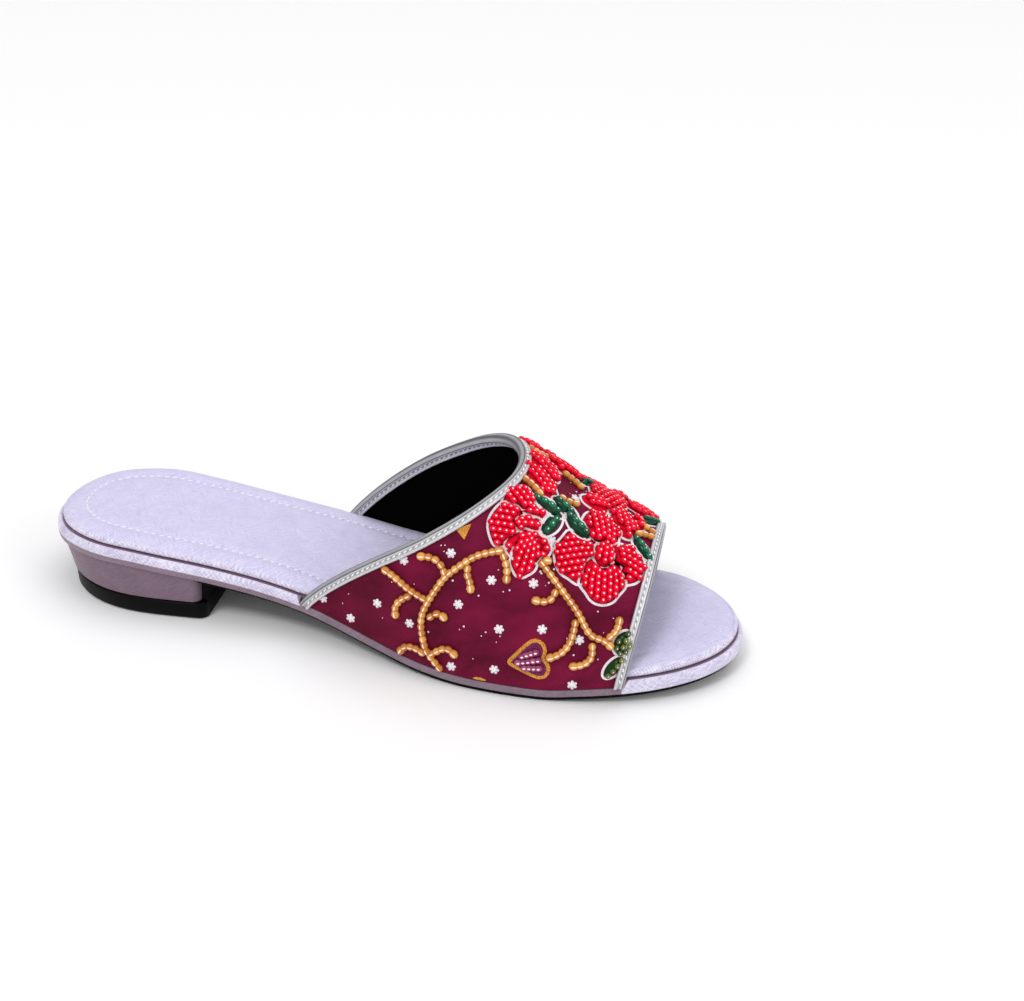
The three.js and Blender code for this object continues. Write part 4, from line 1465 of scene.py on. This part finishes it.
class Lobe:
    # Its own flat frame stands at the base and runs to the tip
    def __init__(self, base, tip, width, fullness=1.0, rise=0.0, joined=None):
        self.base = np.array(base)
        self.tip = np.array(tip)
        self.width = width
        self.rise = rise
        self.joined = joined
        self.over = []  # the lobes that lie over this one
        self.ruffle = 0.0
        self.fullness = fullness
        ends, _ = onVamp([base[0], tip[0]], [base[1], tip[1]])
        middle = (self.base + self.tip) / 2
        _, normal = onVamp(middle[0], middle[1])
        self.start = ends[0]
        self.length = float(np.linalg.norm(ends[1] - ends[0]))
        self.forward = unit(ends[1] - ends[0])
        self.facing = normal
        self.sideways = unit(np.cross(normal, self.forward))

    def halfWidth(self, t):
        t = np.clip(t, 0, 1)
        ruffle = 1 + self.ruffle * np.sin(2 * math.pi * (2.4 * t + 0.1 + self.base[0]))
        return self.width / 2 * ruffle * np.sqrt(np.maximum(np.sin(math.pi * t**self.fullness), 0))

    # From the lobe's flat frame to the vamp's face
    def land(self, u, v, lift=0.0):
        u = np.asarray(u, float)
        v = np.asarray(v, float)
        t = u / self.length
        spot = self.base + (self.tip - self.base) * t[..., None]
        target = np.stack([u, v], -1)
        small = step / 10

        def flat(s):
            at = onVamp(s[..., 0], s[..., 1])[0] - self.start
            return np.stack([at @ self.forward, at @ self.sideways], -1)

        for _ in range(6):
            here = flat(spot)
            a = (flat(spot + [small, 0]) - here) / small
            b = (flat(spot + [0, small]) - here) / small
            miss = target - here
            pivot = a[..., 0] * b[..., 1] - a[..., 1] * b[..., 0]
            ds = (miss[..., 0] * b[..., 1] - miss[..., 1] * b[..., 0]) / pivot
            da = (a[..., 0] * miss[..., 1] - a[..., 1] * miss[..., 0]) / pivot
            spot = np.clip(spot + np.stack([ds, da], -1), 0.001, 0.999)
        return onVamp(spot[..., 0], spot[..., 1], np.broadcast_to(lift, u.shape))

    # Roughly how far points on the vamp lie outside this lobe
    def outside(self, points):
        place = points - self.start
        u = place @ self.forward
        v = place @ self.sideways
        beyond = np.maximum(np.maximum(-u, u - self.length), 0)
        aside = np.maximum(np.abs(v) - self.halfWidth(u / self.length), 0)
        behind = np.maximum(np.abs(place @ self.facing) - 4, 0)
        return np.sqrt(beyond**2 + aside**2 + behind**2)

    # 1 where nothing lies over this lobe, down to 0 at what does and its outline
    def room(self, points):
        clear = np.ones(points.shape[:-1])
        for top in self.over:
            near = 0.0 if self.joined and top.joined == self.joined else 0.9
            clear = np.minimum(clear, np.clip((top.outside(points) - near) / 1.4, 0, 1))
        return clear

    def domeAt(self, u, v):
        t = np.clip(np.asarray(u) / self.length, 0, 1)
        half = np.maximum(self.halfWidth(t), 0.1)
        swell = np.clip(1 - (np.asarray(v) / half) ** 2, 0, 1)
        return beadwork["dome"] * swell * np.sin(math.pi * t) ** 0.5

    def outline(self, gap):
        t = (1 - np.cos(np.linspace(0, math.pi, 26))) / 2
        width = self.halfWidth(t)
        u = np.concatenate([t, t[-2:0:-1]]) * self.length
        v = np.concatenate([width, -width[-2:0:-1]])
        loop = np.stack([u, v], -1)
        run = unit(np.roll(loop, -1, axis=0) - np.roll(loop, 1, axis=0))
        outward = np.stack([-run[:, 1], run[:, 0]], -1)
        return loop + outward * gap


def lobeBeads(lobe, pitch, row, size, narrow=0.5):
    spots = []
    rows = int(lobe.width / row / 2 + 0.25)
    for k in sorted(range(-rows, rows + 1), key=abs):
        begin = 0.7 + (pitch / 2 if k % 2 else 0)
        for u in np.arange(begin, lobe.length, pitch):
            t = u / lobe.length
            v = k * row * (narrow + (1.04 - narrow) * min(1, t / 0.5))
            if abs(v) > lobe.halfWidth(t) - size[1] * 0.18:
                continue
            if any(math.hypot(u - a, v - b) < pitch * 0.78 for a, b in spots):
                continue
            spots.append((u, v))
    spots = np.array(spots)
    room = lobe.room(lobe.land(spots[:, 0], spots[:, 1])[0])
    spots, room = spots[room > 0.4], room[room > 0.4]
    lift = size[2] * 0.45 + (lobe.domeAt(spots[:, 0], spots[:, 1]) + lobe.rise) * room
    at, facing = lobe.land(spots[:, 0], spots[:, 1], lift)
    ahead, _ = lobe.land(spots[:, 0] + 0.5, spots[:, 1] * 1.02, lift)
    return {"at": at, "facing": facing, "running": unit(ahead - at)}


def stringBeads(through, half, endGrow=1.0):
    spots = np.array([mirrored(spot, half) for spot in through], float)
    travel = travelled(onVamp(spots[:, 0], spots[:, 1])[0])
    fine = np.linspace(0, travel[-1], 160)
    share = naturalSpline(travel, spots[:, 0])(fine)
    around = naturalSpline(travel, spots[:, 1])(fine)
    lift = np.full(fine.shape, beadwork["stringLift"])
    line, facing = onVamp(np.clip(share, 0, 1), np.clip(around, 0.001, 0.999), lift)
    row = walkLine(line, facing, beadwork["stringPitch"])
    spread = np.ones(row["at"].shape)
    spread[-1] = endGrow
    row["spread"] = spread
    return row


# A raised line on the vamp's face, along a closed loop
def ribbon(line, facing, width, height):
    run = unit(np.roll(line, -1, axis=0) - np.roll(line, 1, axis=0))
    aside = unit(np.cross(run, facing))
    section = [(-0.5, -0.25), (-0.4, height * 0.8), (0, height), (0.4, height * 0.8), (0.5, -0.25)]
    rings = [line + aside * across * width + facing * lift for across, lift in section]
    points = np.stack(rings, 1).reshape(-1, 3)
    faces = gridFaces(len(line) + 1, len(section), wrap=True)
    return points, [tuple(k % len(points) for k in face) for face in faces]


# A low domed pad in a lobe's outline
def padOf(lobe, height, dome=True):
    shares = (1 - np.cos(np.linspace(0, math.pi, 13))) / 2
    t, w = np.meshgrid(shares, np.linspace(-1, 1, 9), indexing="ij")
    u = t * lobe.length
    v = w * lobe.halfWidth(t)
    bump = np.clip(1 - w**4, 0, 1) * np.sin(math.pi * t) ** 0.4
    swell = lobe.domeAt(u, v) if dome else 0
    raised = (height * bump + swell + lobe.rise * bump) * lobe.room(lobe.land(u, v)[0])
    top, _ = lobe.land(u, v, raised - beadwork["sunk"])
    low, _ = lobe.land(u, v, np.full(u.shape, -beadwork["sunk"]))
    return twoSheets(top, low, *u.shape)


# The gold print's corner at the collar
def cornerOf(half):
    names = ("left", "right") if half == "medial" else ("right", "left")
    left, right = (np.array(mirrored(goldCorner[name], half)) for name in names)
    tip = np.array(mirrored(goldCorner["tip"], half))
    count = goldCorner["steps"] + 1
    down, across = np.meshgrid(np.linspace(0, 0.97, count), np.linspace(0, 1, count), indexing="ij")
    down, across = down[..., None], across[..., None]
    spots = ((1 - down) * (left + (right - left) * across) + down * tip).reshape(-1, 2)
    top, low = (onVamp(*spots.T, lift)[0] for lift in (0.1, -beadwork["sunk"]))
    return twoSheets(top, low, count, count)


def lobesOf(rows, half):
    return [Lobe(mirrored(base, half), mirrored(tip, half), *rest) for base, tip, *rest in rows]


halves = ("medial", "lateral")
redLobes = [lobe for half in halves for lobe in lobesOf(petals, half)] + lobesOf(crestPetals, "medial")
nearLeaves, farLeaves = (lobesOf(leaves, half) for half in halves)
greenLobes = nearLeaves + farLeaves
tipLobes = [lobe for half in halves for lobe in lobesOf(toeLeaves, half)]
allLobes = nearLeaves + redLobes + farLeaves + tipLobes
for k, lobe in enumerate(allLobes):
    lobe.over = allLobes[:k]
for lobe in redLobes:
    lobe.ruffle = beadwork["ruffle"]


def makeBeadwork():
    size = beadwork["redSize"]
    rows = [lobeBeads(lobe, beadwork["redPitch"], beadwork["redRow"], size) for lobe in redLobes]
    nodes = [f"flower_{place}_{half}" for place in ("back", "front") for half in halves]
    keepBeads("red_beads", rows, size, "red", "red_beads", *nodes)
    pads = [padOf(lobe, beadwork["petalPad"]) for lobe in redLobes]
    keepSheets("petal_pads", pads, "felt", "red_beads")

    size = beadwork["leafSize"]
    rows = [lobeBeads(lobe, beadwork["leafPitch"], beadwork["leafRow"], size, 0.7) for lobe in greenLobes]
    keepBeads("green_beads", rows, size, "green", "green_beads", "sprig_medial", "sprig_lateral")
    pads = [padOf(lobe, beadwork["leafPad"]) for lobe in greenLobes]
    keepSheets("leaf_pads", pads, "green", "green_beads")

    pads = [padOf(lobe, beadwork["tipPad"]) for lobe in tipLobes]
    keepSheets("toe_leaf_pads", pads, "leaf", "green_beads")
    size = beadwork["tipSize"]
    rows = [lobeBeads(lobe, beadwork["tipPitch"], beadwork["tipRow"], size, 0.7) for lobe in tipLobes]
    keepBeads("olive_beads", rows, size, "olive", "green_beads")

    grow = beadwork["endGrow"]
    rows = [stringBeads(through, half, grow) for half in halves for through in amberStrings]
    rows += [stringBeads(through, half) for through in crestStrings for half in halves]
    nodes = [f"vine_{place}_{half}" for place in ("back", "front") for half in halves]
    keepBeads("amber_beads", rows, beadwork["stringSize"], "amber", "gold_beads", *nodes)

    strips = []
    width = beadwork["outlineWidth"]
    for lobe in allLobes:
        loop = lobe.outline(beadwork["outlineGap"] + width / 2)
        strips.append(ribbon(*lobe.land(*loop.T), width, beadwork["outlineHeight"]))
    keepSheets("white_outlines", strips, "white", "burgundy_fabric")
    printedLobes = [lobe for half in halves for lobe in lobesOf(goldPrint, half)]
    prints = [padOf(lobe, beadwork["goldHeight"], dome=False) for lobe in printedLobes]
    prints += [cornerOf(half) for half in halves]
    keepSheets("gold_leaf_print", prints, "gold", "gold_beads")


makeBeadwork()
print("beadwork made")

# Heart, printed in gold and purple with three rows of pearly beads

heart = {
    "notch": (0.730, 0.069),
    "tip": (0.627, 0.044),
    "width": 14,
    "shape": [(1.2, 0), (-0.6, 2.6), (-0.2, 5.2), (1.8, 6.9), (4.4, 6.8), (7.6, 4.9), (11.4, 2.4), (15, 0)],
    "line": 1.5,
    "beadSize": (3.0, 2.5, 1.9),
}


def heartLoop(lobe):
    marks = np.array(heart["shape"], float)
    marks = np.concatenate([marks, marks[-2:0:-1] * [1, -1]])
    turn = np.arange(len(marks) + 1)
    closed = np.concatenate([marks, marks[:1]])
    fine = np.linspace(0, len(marks), 72, endpoint=False)
    u = np.interp(fine, turn, closed[:, 0])
    v = np.interp(fine, turn, closed[:, 1])
    for _ in range(3):
        u = (np.roll(u, 1) + 2 * u + np.roll(u, -1)) / 4
        v = (np.roll(v, 1) + 2 * v + np.roll(v, -1)) / 4
    return np.stack([u * lobe.length / marks[:, 0].max(), v], -1)


def makeHearts():
    lines = []
    fills = []
    rows = []
    for half in halves:
        lobe = Lobe(mirrored(heart["notch"], half), mirrored(heart["tip"], half), heart["width"])
        loop = heartLoop(lobe)
        line, facing = lobe.land(*loop.T)
        if half == "medial":
            line, facing = line[::-1], facing[::-1]
        lines.append(ribbon(line, facing, heart["line"], 0.3))
        centre = np.array([lobe.length * 0.35, 0])
        rings = [centre + (loop - centre) * share for share in (0.97, 0.8, 0.6, 0.4, 0.2, 0.02)]
        shares = (1, 0.8, 0.6, 0.4, 0.2, 0)
        top = [lobe.land(*r.T, 0.12 + 0.5 * (1 - share**2))[0] for r, share in zip(rings, shares)]
        low = lobe.land(*rings[0].T, -0.1)[0]
        stack = np.array([low, *top])
        faces = gridFaces(len(stack), len(loop), wrap=True)
        faces.append(list(range(len(loop))))
        faces.append([(len(stack) - 1) * len(loop) + k for k in range(len(loop))])
        fills.append((stack.reshape(-1, 3), faces))
        for k in range(-1, 2):
            u = np.linspace(2.4 + 0.3 * abs(k), lobe.length * (0.7 - 0.13 * abs(k)), 5 - abs(k))
            v = k * heart["width"] * 0.19 * np.linspace(1.1, 0.8, len(u))
            at, facing = lobe.land(u, v, 1.05)
            ahead, _ = lobe.land(u + 0.4, v, 1.05)
            rows.append({"at": at, "facing": facing, "running": unit(ahead - at)})
    keepSheets("heart_outline", lines, "gold", "gold_beads")
    keepSheets("heart_fill", fills, "purple", "gold_beads")
    nodes = ("heart_medial", "heart_lateral")
    keepBeads("pearl_beads", rows, heart["beadSize"], "pearl", "gold_beads", *nodes)


makeHearts()
print("hearts made")

# Small printed flowers and dots

printed = {
    "flowerWidth": 3.5,
    "flowerHeight": 0.3,
    "clear": 1.2,
    "dots": 150,
    "dotSize": (0.6, 0.6, 0.2),
    "dotClear": 1.6,
}


def clearOfLobes(points, gap):
    return np.min([lobe.outside(points) for lobe in allLobes], axis=0) > gap


def makePrint():
    random = np.random.default_rng(5)
    spots = [*printedFlowers]
    spots += [mirrored(s, "lateral") for s in printedFlowers if s[1] < 0.45]
    share, around = np.array(spots).T
    at, facing = onVamp(share, np.clip(around, 0.012, 0.988), np.full(share.shape, -0.12))
    free = clearOfLobes(at, printed["clear"])
    at, facing, spots = at[free], facing[free], np.array(spots)[free]
    turn = random.random(len(spots)) * math.pi
    run = np.stack([np.cos(turn), 0 * turn, np.sin(turn)], -1)
    row = {"at": at, "facing": facing, "running": unit(run)}
    sizes = {"Petals": 6, "Width": printed["flowerWidth"], "Height": printed["flowerHeight"]}
    piece = repeatShape("printed_flowers", flowerShape, sizes, finish["white"], [row])
    keep(piece, "burgundy_fabric")
    share = random.uniform(0.06, 0.94, printed["dots"])
    around = random.uniform(0.02, 0.98, printed["dots"])
    at, facing = onVamp(share, around, np.full(share.shape, 0.1))
    free = clearOfLobes(at, printed["dotClear"])
    at, facing = at[free], facing[free]
    size = 0.6 + 0.9 * random.random(len(at))
    row = {"at": at, "facing": facing, "running": facing[:, [1, 2, 0]]}
    row["spread"] = size[:, None] * np.ones(3)
    size, slot = printed["dotSize"], "burgundy_fabric"
    keepBeads("printed_dots", [row], size, "white", slot, segments=6, rings=4)


makePrint()
print("print made")

# Floor and light

studio = {
    "world": 0.66,
    "lights": [
        {"name": "key", "at": (-0.8, -2.2, 3.2), "size": 1.1, "power": 43},
        {"name": "over", "at": (0.8, 0.5, 3.6), "size": 3.4, "power": 30},
        {"name": "side", "at": (3.0, -1.3, 2.0), "size": 2.0, "power": 17},
    ],
}


def makeStudio():
    kit = Finish("floor_paint")
    grain = kit.noise(kit.place(), 400)
    body = kit.blend(grain * 0.2, "floor", "floorShade")
    paint = kit.surface(BaseColor=body, Roughness=0.7)
    mesh = bpy.data.meshes.new("floor")
    reach = 9
    corners = [(-reach, -reach, 0), (reach, -reach, 0), (reach, reach, 0), (-reach, reach, 0)]
    mesh.from_pydata(corners, [], [(0, 1, 2, 3)])
    mesh.materials.append(paint)
    floor = bpy.data.objects.new("floor", mesh)
    scene.collection.objects.link(floor)
    world = bpy.data.worlds.new("studio")
    scene.world = world
    world.use_nodes = True
    background = world.node_tree.nodes["Background"]
    background.inputs[0].default_value = (1, 1, 1, 1)
    background.inputs[1].default_value = studio["world"]
    for row in studio["lights"]:
        lamp = bpy.data.lights.new(row["name"], "AREA")
        lamp.shape = "DISK"
        lamp.size = row["size"]
        lamp.energy = row["power"]
        holder = bpy.data.objects.new(row["name"], lamp)
        holder.location = row["at"]
        aim = Vector((0, 0, 0.03)) - holder.location
        holder.rotation_euler = aim.to_track_quat("-Z", "Y").to_euler()
        scene.collection.objects.link(holder)
    scene.view_settings.view_transform = "Standard"


makeStudio()
print("studio made")
